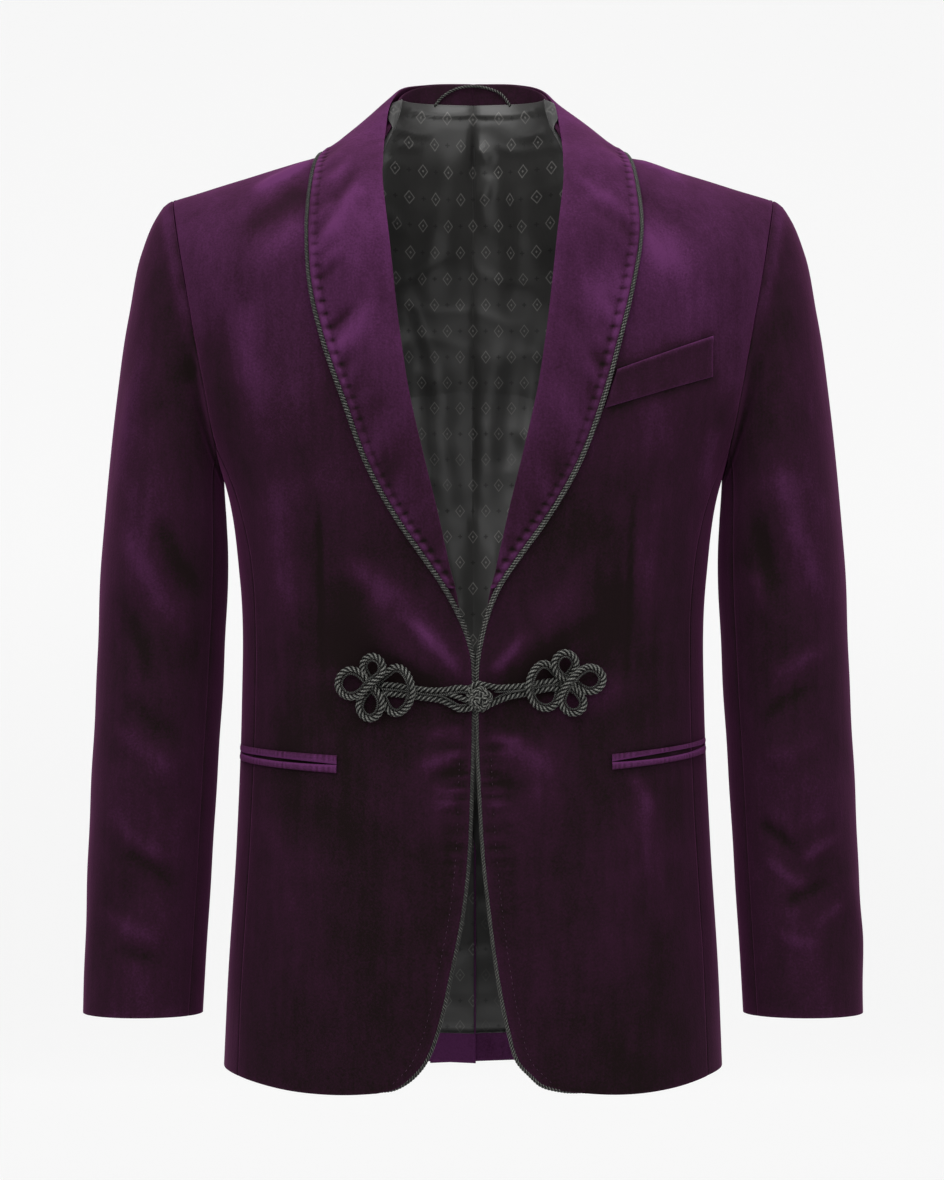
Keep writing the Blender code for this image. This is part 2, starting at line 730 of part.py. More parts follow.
def make_sleeve(piece, side_name, side, first, last, count):
    """One cut piece of a sleeve, between two turns."""
    trim = SEAM_GAP / 2 / SLEEVE_RADIUS
    turns = np.linspace(np.radians(first) + trim, np.radians(last) - trim, count)
    turns = np.where(turns > np.pi, turns - 2 * np.pi, turns)
    outer, out = sleeve_rings(turns, SLEEVE_STEPS, side)
    inner = outer - out * SLEEVE_WALL
    return wall(f"{piece}_sleeve_{side_name}", mirrored(outer, side), mirrored(inner, side), "velvet")


def lapel_edge(side_name):
    return through(LAPEL_EDGE["height"], LAPEL_EDGE[side_name])


def neck_sections(across, lift, keep_off):
    """Sections of the collar behind and beside the neck, on the wearer's left, from the roll to the edge."""
    sections = []
    for row in range(len(COLLAR_BACK["roll_x"])):
        back = {name: values[row] for name, values in COLLAR_BACK.items()}
        roll = np.array([back["roll_x"], back["roll_y"], back["roll_z"]])
        edge = np.array([back["edge_x"], back["edge_y"], shoulder_top(back["edge_x"], back["edge_y"]) + lift])
        edge += (roll - edge) / np.linalg.norm(roll - edge) * keep_off
        line = blend(roll, edge, across[:, None])
        hollow = line[:, 2] - COLLAR_HOLLOW * np.sin(np.pi * across)
        line[:, 2] = np.maximum(hollow, shoulder_top(line[:, 0], line[:, 1]) + lift)
        sections.append(line)
    return sections


def lapel_sections(side_name, side, across, lift, keep_off):
    """Sections of one lapel down the front, each from the roll to the edge, with a soft belly between."""
    roll_reach = through(ROLL_LINE["height"], ROLL_LINE["reach"])
    edge_reach = lapel_edge(side_name)
    sections = []
    for roll_z, edge_z in zip(COLLAR_FRONT["roll_height"], COLLAR_FRONT["edge_height"]):
        roll = np.array([roll_reach(roll_z), roll_z])
        edge = np.array([edge_reach(edge_z), edge_z])
        width = np.linalg.norm(roll - edge)
        edge += (roll - edge) / width * keep_off
        line = blend(roll, edge, across[:, None])
        belly = min(width * LAPEL_BELLY_SHARE, LAPEL_BELLY) * np.sin(np.pi * across) ** 0.8
        sections.append(front_point(side * line[:, 0], line[:, 1], lift + belly))
    return sections


def collar_grid(side_name, side, across, rows):
    """The outer face of one half of the collar, from the middle of the back to the break."""
    lift = LAY_CLEAR + COLLAR_WALL
    keep_off = PIPING_RADIUS + PIPING_GAP
    neck = neck_sections(across, lift + NECK_CLEAR, keep_off + NECK_CLEAR)
    placed = [mirrored(section, side) for section in neck]
    placed = np.array(placed + lapel_sections(side_name, side, across, lift, keep_off))
    steps = np.linalg.norm(np.diff(placed.mean(1), axis=0), axis=1)
    station = np.concatenate([[0], np.cumsum(steps)])
    grid = through(station, placed)(np.linspace(0, station[-1], rows))
    over = shoulder_top(np.abs(grid[..., 0]), grid[..., 1]) + lift
    grid[..., 2] = np.where(grid[..., 2] > SHOULDER_TIP_Z, np.maximum(grid[..., 2], over), grid[..., 2])
    return grid


def grid_normals(grid):
    """Normals of a grid of points, from its own rows and columns."""
    normal = np.cross(np.gradient(grid, axis=0), np.gradient(grid, axis=1))
    return normal / np.linalg.norm(normal, axis=-1, keepdims=True)


def make_collar(side_name, side):
    outer = collar_grid(side_name, side, np.linspace(0, 1, 6), 27)
    normal = grid_normals(outer)
    normal *= np.sign(normal[0, 3, 1])
    normal[0, :, 0] = 0
    outer[0] += np.array([side * SEAM_GAP / 2, 0, 0])
    inner = outer - normal * COLLAR_WALL
    return wall(f"collar_{side_name}", outer, inner, "velvet")


def stand_rails():
    """The collar stand's lower and upper lines on the wearer's left, from the middle of the back forwards."""
    lower, upper = [], []
    for row in range(len(STAND_FOOT["foot_x"])):
        foot_x, foot_z = STAND_FOOT["foot_x"][row], STAND_FOOT["foot_height"][row]
        roll = np.array([COLLAR_BACK[name][row] for name in ("roll_x", "roll_y", "roll_z")])
        ridge_y, ridge_z = neck_ridge(foot_x)
        foot = front_point(foot_x, foot_z) if foot_z < 0 else np.array([foot_x, ridge_y, ridge_z])
        plan = np.array([roll[0], roll[1] - RIDGE_Y, 0])
        outwards = plan / np.linalg.norm(plan)
        lower.append(foot + np.array([0, 0, STAND_FOOT_LIFT]) - outwards * STAND_FOOT_INSET)
        upper.append(roll - np.array([0, 0, STAND_TOP_DROP]) - outwards * STAND_TOP_INSET)
    return np.array(lower), np.array(upper)


def make_stand(side_name, side):
    """Half of the collar stand, the velvet band inside the neck."""
    lower, upper = stand_rails()
    station = np.arange(len(lower))
    wanted = np.linspace(0, len(lower) - 2 + STAND_END_SHARE, 9)
    rails = [through(station, lower)(wanted), through(station, upper)(wanted)]
    outer = np.array([blend(rails[0], rails[1], share) for share in (0.0, 0.5, 1.0)])
    plan = outer - np.array([0, RIDGE_Y, 0])
    plan[..., 2] = 0
    outwards = plan / np.linalg.norm(plan, axis=-1, keepdims=True)
    outer[:, 0, 0] += SEAM_GAP / 2
    outwards[:, 0, 0] = 0
    inner = outer - outwards * STAND_WALL
    return wall(f"collar_stand_{side_name}", mirrored(outer, side), mirrored(inner, side), "velvet")


def piping_path(side_name, side):
    """The piping's middle line: round the collar, then down the lapel and the front edge to the hem."""
    lift = LAY_CLEAR + PIPING_GAP + PIPING_RADIUS
    edge_x, edge_y = COLLAR_BACK["edge_x"], COLLAR_BACK["edge_y"]
    neck = np.stack([edge_x, edge_y, shoulder_top(edge_x, edge_y) + lift + NECK_CLEAR], -1)
    neck[0, 0] += PIPING_GAP
    reach = lapel_edge(side_name)
    lapel_z = COLLAR_FRONT["edge_height"]
    lapel = front_point(side * reach(lapel_z), lapel_z, lift)
    front_z = FRONT_EDGE["height"][::-1]
    front_x = side * FRONT_EDGE[side_name][::-1]
    sink = ease((PIPING_SINK_Z - front_z) / PIPING_SINK_RUN)
    front = front_point(front_x, front_z, blend(lift, -PANEL_WALL / 2, sink))
    return even_path(np.concatenate([mirrored(neck, side), lapel, front]), 20.0, 12.0)


def frog_place(side, across, up, out):
    """A point of a frog's cord on its front."""
    return front_point(KNOT["x"] + side * across, KNOT["z"] + up, out)


def make_frog(side_name, side):
    """One frog: a cord out from the knot, round two loops and back, and a crown of two more loops."""
    row = list(FROG_SETTING["side"]).index(side)
    setting = {name: values[row] for name, values in FROG_SETTING.items()}
    out = STEM_CLEAR + FROG_RADIUS
    start = KNOT["radius"]
    across = HEAD_CORD["across"] + setting["head_across"]
    up = HEAD_CORD["up"] + setting["head_up"]
    middle = STEM_MIDDLE / (across[0] - start)
    across = np.concatenate([[start, start + STEM_MIDDLE], across, [start + STEM_MIDDLE, start]])
    upper = [setting["eye_top"], blend(setting["eye_top"], up[0], middle)]
    lower = [blend(setting["eye_bottom"], up[-1], middle), setting["eye_bottom"]]
    up = np.concatenate([upper, up, lower])
    loops = frog_place(side, across, up, out)
    cord(f"frog_{side_name}_cord", even_path(loops, 9.0, 24.0), FROG_RADIUS, "cord")
    across = HEAD_CROWN["across"] + setting["head_across"]
    up = HEAD_CROWN["up"] + setting["head_up"]
    crown = frog_place(side, across, up, out + HEAD_CROWN["layer"] * LAYER_HEIGHT)
    cord(f"frog_{side_name}_crown", even_path(crown, 9.0, 24.0), FROG_RADIUS, "cord")


def make_knot():
    """The ball knot, a little flattened towards the cloth."""
    centre = front_point(KNOT["x"], KNOT["z"], KNOT["seat"] + KNOT["thickness"])
    shape = bmesh.new()
    bmesh.ops.create_icosphere(shape, subdivisions=2, radius=1.0)
    points = np.array([vertex.co for vertex in shape.verts])
    faces = [[vertex.index for vertex in face.verts] for face in shape.faces]
    shape.free()
    size = np.array([KNOT["radius"], KNOT["thickness"], KNOT["radius"]])
    return solid("frog_knot", points * size + centre, faces, "cord")


def make_jets(side_name, side):
    """The two velvet jets of a hip pocket, laid on the front and round onto the side panel."""
    row = list(JETS["side"]).index(side)
    jet = {name: values[row] for name, values in JETS.items()}
    first = turn_of(jet["inner_x"] / half_width(jet["slit"]))
    turns = np.linspace(first, np.radians(JET_END_TURN), 10)
    share = np.linspace(0, 1, 10)
    for piece, low, high in (("upper", "slit", "top"), ("lower", "bottom", "slit")):
        low_z = blend(jet[low], jet["side_" + low], share)
        high_z = blend(jet[high], jet["side_" + high], share) - (JET_GAP if piece == "lower" else 0)
        z = np.stack([low_z, (low_z + high_z) / 2, high_z])
        turn = np.broadcast_to(turns, z.shape)
        outer = mirrored(ring_point(turn, z, LAY_CLEAR + TRIM_WALL), side)
        inner = mirrored(ring_point(turn, z, LAY_CLEAR), side)
        wall(f"pocket_jet_{piece}_{side_name}", outer, inner, "velvet")


def make_welt():
    """The slanted breast pocket welt on the wearer's left, which starts beside the lapel."""
    share = np.linspace(0, 1, 7)
    start, end = WELT["x"]
    top = np.stack([blend(start, end, share), blend(*WELT["top"], share)], -1)
    bottom = np.stack([blend(start - WELT_SLANT, end, share), blend(*WELT["bottom"], share)], -1)
    grid = np.array([blend(bottom, top, level) for level in (0, 0.5, 1)])
    outer = front_point(grid[..., 0], grid[..., 1], LAY_CLEAR + TRIM_WALL)
    inner = front_point(grid[..., 0], grid[..., 1], LAY_CLEAR)
    return wall("breast_welt", outer, inner, "velvet")


def make_hanger():
    """The cord loop that the jacket hangs by, on the inner face of the collar stand."""
    lower, upper = stand_rails()
    low = through(lower[:4, 0], lower[:4])(np.abs(HANGER["x"]))
    high = through(upper[:4, 0], upper[:4])(np.abs(HANGER["x"]))
    share = (HANGER["z"] - low[:, 2]) / (high[:, 2] - low[:, 2])
    y = blend(low[:, 1], high[:, 1], share) - STAND_WALL - HANGER_RADIUS - 2 * LAY_CLEAR
    path = np.stack([HANGER["x"], y, HANGER["z"]], -1)
    return cord("hanger_loop", even_path(path, 12.0, 18.0), HANGER_RADIUS, "cord")


def main():
    for found in list(bpy.data.objects):
        bpy.data.objects.remove(found, do_unlink=True)
    for side_name, side in SIDES.items():
        make_front(side_name, side)
        make_side(side_name, side)
        make_back(side_name, side)
        make_lining(side_name, side)
        make_sleeve("top", side_name, side, FRONT_SLEEVE_SEAM, BACK_SLEEVE_SEAM, 13)
        make_sleeve("under", side_name, side, BACK_SLEEVE_SEAM, 360 + FRONT_SLEEVE_SEAM, 6)
        make_collar(side_name, side)
        make_stand(side_name, side)
        cord(f"piping_{side_name}", piping_path(side_name, side), PIPING_RADIUS, "cord")
        make_frog(side_name, side)
        make_jets(side_name, side)
    make_knot()
    make_welt()
    make_hanger()


main()
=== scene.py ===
"""Looks of the velvet smoking jacket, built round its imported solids.

Tables and form functions work in millimetres, as the part's source does; meshes are made in metres.
+Z is up, the front faces -Y, and +X is the wearer's left.
"""

import bpy
import numpy as np
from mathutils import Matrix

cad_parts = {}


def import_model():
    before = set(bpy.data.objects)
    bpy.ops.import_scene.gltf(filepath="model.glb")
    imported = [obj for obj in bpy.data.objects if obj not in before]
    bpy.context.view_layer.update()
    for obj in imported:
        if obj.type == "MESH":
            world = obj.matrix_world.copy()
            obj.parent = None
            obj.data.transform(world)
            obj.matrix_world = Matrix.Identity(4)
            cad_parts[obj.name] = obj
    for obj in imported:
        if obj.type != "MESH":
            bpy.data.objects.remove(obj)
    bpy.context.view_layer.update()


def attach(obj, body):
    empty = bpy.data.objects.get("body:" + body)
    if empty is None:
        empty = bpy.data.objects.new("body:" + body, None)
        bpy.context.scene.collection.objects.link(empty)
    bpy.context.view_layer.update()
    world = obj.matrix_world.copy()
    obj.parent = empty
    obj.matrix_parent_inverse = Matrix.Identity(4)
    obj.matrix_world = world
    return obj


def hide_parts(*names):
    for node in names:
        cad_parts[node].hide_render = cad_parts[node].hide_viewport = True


MM = 0.001
SIDES = {"right": -1, "left": 1}

# Cloth and cord: thicknesses, and how far one lies off another. A gap below zero laps the edges of a seam
SEAM_GAP = -0.2
PANEL_WALL = 2.0
SLEEVE_WALL = 1.8
COLLAR_WALL = 2.2
STAND_WALL = 1.8
LINING_WALL = 0.8
TRIM_WALL = 1.6
LAY_CLEAR = 0.9
LINING_CLEAR = 0.3
PIPING_RADIUS = 1.75
PIPING_SINK = 0.5
FROG_RADIUS = 2.45
FROG_BRAID_RADIUS = 1.0
HANGER_RADIUS = 1.3

# Shoulders and neck
SHOULDER_TIP_X = 237.0
SHOULDER_TIP_Z = -40.0
SHOULDER_SLOPE = 0.296
SHOULDER_DROP = 100.0
RIDGE_Y = 5.0
RIDGE_BAND = 0.5
NECK_HALF_WIDTH = 82.0
NECK_DEPTH = 67.0
NECK_RISE = 34.0
NECK_CURVE = 0.8

# Armhole: the seam lies in one tilted plane, from the underarm to the shoulder tip
UNDERARM_X = 196.0
UNDERARM_Z = -262.0
FRONT_NOTCH_Z = -235.0
BACK_NOTCH_Z = -200.0
SLEEVE_GAP = 0.5

# Side seams, as a share of the half width, and the vent at the middle of the back
FRONT_SEAM_REACH = 0.93
BACK_SEAM_REACH = 0.88
FARTHEST_REACH = 0.9999
SEAM_DRIFT_END_Z = -340.0
ROUNDNESS = 2.4
VENT_TOP_Z = -525.0
VENT_STEP = 1.5
VENT_RAMP = 28.0
VENT_WIDTH = 70.0
VENT_OVERLAP = 35.0
VENT_UNDERLAP = 2.3
VENT_EASE = 12.0
VENT_LINING_DROP = 0.5
VENT_LINING_START = {"right": -1.0, "left": -0.2}
# Painted shadow on the lining inside the vent, as a factor on its colour
VENT_SHADE = {"right": 0.8, "left": 0.35}

# How edges and rows ease into each other
HEM_BOW = 5.0
HEM_BOW_ROWS = 5
NECK_EASE_DROP = 160.0
FRONT_ROLL_INSET = 1.0
PIPING_NECK_LIFT = 0.4
PIPING_SINK_Z = -366.0
PIPING_SINK_RUN = 24.0
PIPING_END_RUN = 24.0
PIPING_END_TUCK = 2.2
COLLAR_SWELL = 5.0
COLLAR_ROWS = 420
COLLAR_RIGHT_LIFT = 4.0
LAPEL_BELLY = 3.5
LAPEL_BELLY_SHARE = 0.083
LAPEL_BELLY_POWER = 0.8
STAND_FOOT_LIFT = 1.0
STAND_FOOT_INSET = 0.8
STAND_TOP_DROP = 1.6
STAND_TOP_INSET = 3.2
STAND_END_SHARE = 0.75
KNOT_PULL = 1.1
KNOT_PULL_RUN = 62.0

# Cloth as it is sewn: rounded edges, with points closer beside them, and seams that pull in a little
EDGE_ROUND = 1.5
LINING_EDGE_ROUND = 0.5
SLEEVE_EDGE_ROUND = 0.7
EDGE_STEPS = np.array([0.35, 0.9, 1.7, 3.0])
SEAM_PULL = 0.55
SEAM_WIDTH = 2.6
STITCH_INSET = 7.0
STITCH_SPACING = 9.2
FOLD_LEAD = 0.25
FOLD_TRAIL = 0.45
FOLD_FADE = 22.0
WAVE_COUNT = 14
WAVE_SPREAD = 5.0
INNER_NAP_SHARE = 0.4
# How light the turned-up hem is on each side: its pile lies the other way up, and painted light brightens it
# where it lies in shadow
TURN_UP_NAP_AND_LIGHT = {"right": 0.95, "left": 0.8}

# The lining's top inside the collar band: its ends, the shares of its length where its sections lie, its
# distances from the stand, and its tuck
NECK_FOLD_Z = 42.0
NECK_FOLD_FOOT_Z = -210.0
NECK_FOLD_LAP = 50.0
NECK_FOLD_END = 3.95
NECK_FOLD_STATIONS = np.array([-0.2, 0.0, 0.38, 0.9, 0.97, 1.0])
NECK_FOLD_CLEAR = 0.6
NECK_FOLD_KNEE_CLEAR = 2.0
NECK_FOLD_KNEE_DROP = 4.0
NECK_FOLD_TUCK = 11.5
NECK_FOLD_TUCK_RISE = 2.2

# Painted light on the satin near the neck, as a factor on its colour
LINING_SHADE = 1.26


def columns(names, rows):
    """The columns of a table, by name."""
    return dict(zip(names.split(), np.array(rows, float).T))


TORSO = columns("height half_width front_depth back_depth", [
    (-740, 197, 114, 110),
    (-660, 194, 113, 108),
    (-550, 187, 110, 102),
    (-440, 182.5, 106, 94),
    (-340, 184, 112, 98),
    (-262, 196, 120, 106),
    (-200, 224, 122, 110),
    (-120, 242, 116, 108),
    (-40, 258, 110, 104),
    (45, 270, 105, 100),
])

# Front edges as the piping follows them, as distances from the middle towards each front's own side
FRONT_EDGE = columns("height right left side_height", [
    (-733, 72, 84, -725),
    (-729, 58, 58, -719),
    (-721, 47, 46.5, -709),
    (-707, 35.5, 33.7, -694),
    (-682, 26, 26.4, -669),
    (-643, 17, 18.8, -632),
    (-592, 7.2, 12, -584),
    (-542, 2.4, 7, -536),
    (-480, 0.8, 4.3, -477),
    (-439, 0.6, 4.0, -437),
    (-413, 0.6, 4.0, -410),
    (-395, 1.8, 5.4, -389),
    (-371, 8.6, 9.6, -364),
])

# Rows of the back, by their heights at the middle and at the side
BACK_ROWS = columns("middle side", [
    (-734, -726),
    (-726, -719),
    (-711, -706),
    (-690, -686),
    (-664, -660),
    (-625, -622),
    (-584, -582),
    (-564, -562),
    (-552, -550),
    (-530, -529),
    (-482, -482),
    (-430, -432),
    (-378, -382),
    (-326, -336),
    (-274, -292),
    (-222, -246),
    (-166, -200),
    (-110, -152),
    (-62, -110),
    (-24, -78),
    (8, -57),
    (27, -46),
    (36, -41.5),
    (40, -40),
])
SIDE_HEM_Z = -722.0

# Where the lapel rolls back, which is also where the front ends above the break
ROLL_LINE = columns("height reach side_height", [
    (-352, 11.5, -340),
    (-324, 18.5, -310),
    (-285, 27, -270),
    (-245, 36.8, -235),
    (-196, 48, -195),
    (-144, 56, -152),
    (-91, 62, -112),
    (-54, 66, -84),
    (-27, 70, -64),
    (-8, 75, -51),
    (2, 79, -43.5),
    (6.04, 81.5, -40.15),
])

# Outer edge of the lapel, as the piping follows it
LAPEL_EDGE = columns("height right left", [
    (-371, 8.6, 9.6),
    (-352, 18, 16),
    (-328, 33.6, 30.8),
    (-300, 53.2, 51),
    (-270, 70.9, 70),
    (-227, 91, 90.5),
    (-203, 98, 98.4),
    (-170, 110, 108),
    (-133, 120.4, 117),
    (-109, 125, 123),
    (-73, 127, 128.5),
    (-34, 125, 126),
    (0, 120, 121),
])

# The collar from the middle of the back to the front of the shoulder: its roll and its outer edge
COLLAR_BACK = columns("roll_x roll_y roll_z edge_x edge_y", [
    (0, 76, 62, 0, 92),
    (34, 69, 60.5, 46, 86),
    (56, 47, 53, 84, 60),
    (64.5, 20, 39.5, 111, 30),
    (68.5, -28, 12.5, 119, -10),
])

# The collar's stations down the front: the roll's height and the outer edge's height
COLLAR_FRONT = columns("roll_height edge_height", [
    (-37, -36),
    (-75, -74),
    (-115, -114),
    (-155, -158),
    (-196, -203),
    (-245, -256),
    (-286, -296),
    (-318, -322),
    (-346, -346),
])

# Where the collar stand sits on the neck edge, beside each row of COLLAR_BACK
STAND_FOOT = columns("foot_x foot_height", [
    (0, 0),
    (40, 0),
    (66, 0),
    (80.5, 0),
    (77.5, -14),
])

# Sleeve rings from the head to the cuff: the point nearest the body, the outermost point, and the depths
SLEEVE = columns("inner_x inner_z outer_x outer_z middle_y front_depth back_depth", [
    (197, -266, 246.5, -48, 3, 58, 58),
    (196.8, -271, 262, -82, 3, 60, 61),
    (196.4, -277, 272, -132, 3, 62, 63),
    (195.8, -284, 280, -186, 3, 63, 64),
    (195, -293, 287, -250, 3, 64, 65),
    (193.5, -320, 293, -322, 2, 63, 64),
    (196.5, -400, 296.5, -402, 1, 60, 61),
    (201, -480, 300, -482, -3, 56, 57),
    (205.5, -560, 303, -562, -9, 52, 52),
    (210, -640, 305, -640, -17, 48, 48),
    (211.8, -679, 306, -679, -21, 46, 46),
])
FRONT_SLEEVE_SEAM = -145.0
BACK_SLEEVE_SEAM = 122.0

# Folds run from their first place to their second. A positive rise is a ridge, a negative one a trough
FOLD_COLUMNS = "side from_across from_z to_across to_z width rise"

# Largest folds of the fronts: pulls from the knot, a drag below each pocket and a hollow by each armhole.
# Across is the distance from the middle
FRONT_FOLDS = columns(FOLD_COLUMNS, [
    (-1, 14, -418, 112, -345, 17, 3.2),
    (-1, 22, -436, 122, -392, 16, -2.6),
    (-1, 20, -455, 84, -548, 17, 2.2),
    (1, 18, -418, 104, -338, 17, 2.8),
    (1, 24, -438, 116, -388, 16, -2.4),
    (1, 22, -452, 78, -540, 17, 2.0),
    (1, 128, -500, 96, -690, 22, 2.6),
    (-1, 130, -520, 112, -700, 24, 2.2),
    (-1, 196, -120, 176, -300, 17, -3.0),
    (1, 196, -120, 174, -300, 17, -3.0),
])

# Largest folds of the sleeves. Across is a turn round the sleeve: 0 is outermost, minus is front
SLEEVE_FOLDS = columns(FOLD_COLUMNS, [
    (-1, -120, -330, -20, -420, 20, -3.0),
    (-1, -130, -470, -40, -520, 20, 2.6),
    (-1, -100, -560, -30, -640, 18, -2.6),
    (1, -125, -300, -30, -400, 20, -3.0),
    (1, -130, -450, -30, -540, 20, 3.0),
    (1, -120, -540, -40, -620, 18, -3.0),
    (1, -60, -560, 20, -660, 18, 2.4),
    (-1, 60, -380, 130, -440, 20, -2.8),
    (1, 60, -380, 130, -440, 20, -2.8),
])

# Hip pockets: heights of the jets' top, slit and bottom at the inner end and at the side, and how far half
# of the slit stands open
JETS = columns("side inner_x top slit bottom side_top side_slit side_bottom open", [
    (-1, 104, -473.2, -481.3, -489.3, -466.5, -473.6, -481.0, 1.1),
    (1, 106, -472.2, -479.2, -486.6, -460.8, -466.6, -474.4, 1.7),
])
JET_END_TURN = 84.0
JET_GAP = 0.3
JET_LENGTH = 110.0
JET_OPEN_SKEW = 0.8
SLIT_DEPTH = 2.2

# The breast welt's inner and outer end
WELT = columns("x top bottom", [
    (109.4, -179.5, -209.0),
    (183.6, -152.0, -183.3),
])
WELT_SLANT = 9.6

# The frogs: cord heads laid flat on the fronts and a ball knot at the middle. Their paths are measured in
# small steps from each frog's own corner. Layer counts steps of LAYER_HEIGHT upwards
KNOT = {"x": 6.0, "z": -429.7, "radius": 9.3, "thickness": 6.4, "seat": 0.9}
FROG_STEP = 0.0953
FROG_KNOT_AT = {"right": (1248, 422), "left": (128, 462)}
FROG_LOOPS = {
    "right": columns("along down layer", [
        (515, 215, 0), (548, 182, 0), (600, 172, 0.1), (662, 205, 0.5), (703, 280, 1.0),
        (708, 360, 1.0), (690, 440, 0.8), (640, 515, 0.3), (575, 548, 0), (520, 525, 0), (485, 465, 0),
        (455, 400, 0), (410, 340, -0.2), (360, 280, 0), (328, 215, 0.2), (322, 150, 0.3),
        (350, 100, 0.3), (395, 82, 0.3), (445, 100, 0.4), (478, 150, 0.6), (470, 210, 0.9),
        (425, 265, 1.3), (365, 325, 1.4), (305, 385, 1.0), (225, 415, 0.4), (155, 390, 0.2),
        (120, 325, 0.2), (140, 250, 0.2), (205, 205, 0.2), (270, 220, 0.3), (320, 265, 0.4),
        (365, 320, 0.3), (410, 375, 0.5), (448, 430, 0.6), (455, 495, 0.5), (425, 560, 0.3),
        (375, 588, 0.2), (315, 562, 0.2), (287, 500, 0.2), (305, 430, 0.2), (350, 375, -0.2),
        (400, 318, -0.3), (455, 262, -0.2), (500, 225, 0),
    ]),
    "left": columns("along down layer", [
        (738, 478, 0), (705, 528, 0), (640, 548, 0), (575, 525, 0.3), (520, 455, 0.8), (497, 370, 1.0),
        (508, 290, 1.0), (545, 220, 0.6), (605, 183, 0.2), (660, 195, 0), (715, 250, -0.2),
        (780, 325, -0.2), (845, 385, 0), (900, 430, 0.2), (935, 490, 0.3), (925, 550, 0.3),
        (860, 583, 0.3), (800, 560, 0.3), (770, 500, 0.5), (785, 430, 0.9), (815, 365, 1.3),
        (855, 305, 1.4), (910, 252, 1.0), (985, 222, 0.4), (1055, 245, 0.2), (1092, 310, 0.2),
        (1065, 380, 0.2), (1000, 412, 0.2), (935, 398, 0.3), (880, 355, 0.2), (820, 318, 0.3),
        (760, 285, 0.5), (712, 225, 0.6), (705, 160, 0.4), (745, 108, 0.3), (795, 95, 0.3),
        (852, 130, 0.3), (872, 190, 0.3), (848, 245, 0.2), (812, 300, 0), (775, 375, -0.2),
        (748, 435, -0.1),
    ]),
}
FROG_STEMS = {
    "right": (
        columns("along down", [
            (1235, 395), (1190, 365), (1140, 350), (1060, 343), (980, 358), (880, 362), (780, 352),
            (680, 340), (560, 325), (460, 322),
        ]),
        columns("along down", [
            (1225, 470), (1190, 500), (1140, 510), (1080, 515), (1010, 480), (940, 445), (860, 432),
            (760, 422), (660, 408), (560, 400), (460, 395),
        ]),
        columns("along down", [(1200, 452), (1130, 440), (1070, 415), (1010, 395), (960, 385)]),
    ),
    "left": (
        columns("along down", [
            (85, 520), (45, 500), (28, 440), (50, 378), (100, 352), (180, 365), (260, 380), (350, 375),
            (440, 365), (540, 348), (640, 330), (740, 325),
        ]),
        columns("along down", [
            (110, 490), (85, 540), (120, 556), (200, 516), (280, 480), (360, 453), (440, 436),
            (540, 415), (640, 395), (740, 390),
        ]),
    ),
}
LAYER_HEIGHT = 6.2
STEM_CLEAR = 1.7
FROG_PITCH = 11.5
FROG_BRAID_PITCH = 3.2
FROG_BRAID_SINK = 1.6
FROG_BRAID_LIFT = 0.8
FROG_BRAID_NEST = 0.75
KNOT_ROPE = 2.2
KNOT_PITCH = 8.0
KNOT_WEAVE = 1.2
PIPING_PITCH = 7.5
HANGER_PITCH = 5.0

# How full the piping is: below the knot, along the lapel, what it loses at the shoulder, and at its end
PIPING_GIRTH = {"front": 0.95, "lapel": 1.32, "shoulder_loss": 0.42, "end": 0.4}

# Stitches beside the front edges
FRONT_STITCH_INSET = 9.0
FRONT_STITCH_TOP_Z = -470.0
FRONT_STITCH_CORNER = 8.0
FRONT_STITCH_SPACING = 4.6
FRONT_STITCH_LENGTH = 2.0
FRONT_STITCH_THICKNESS = 0.4
FRONT_STITCH_LIFT = 0.2

# The hanger loop, as it lies on the collar stand
HANGER = columns("x z", [
    (-31, 41.5),
    (-24, 50),
    (-13, 56.5),
    (0, 58.6),
    (13, 56.5),
    (23, 51.5),
    (30, 41.5),
])

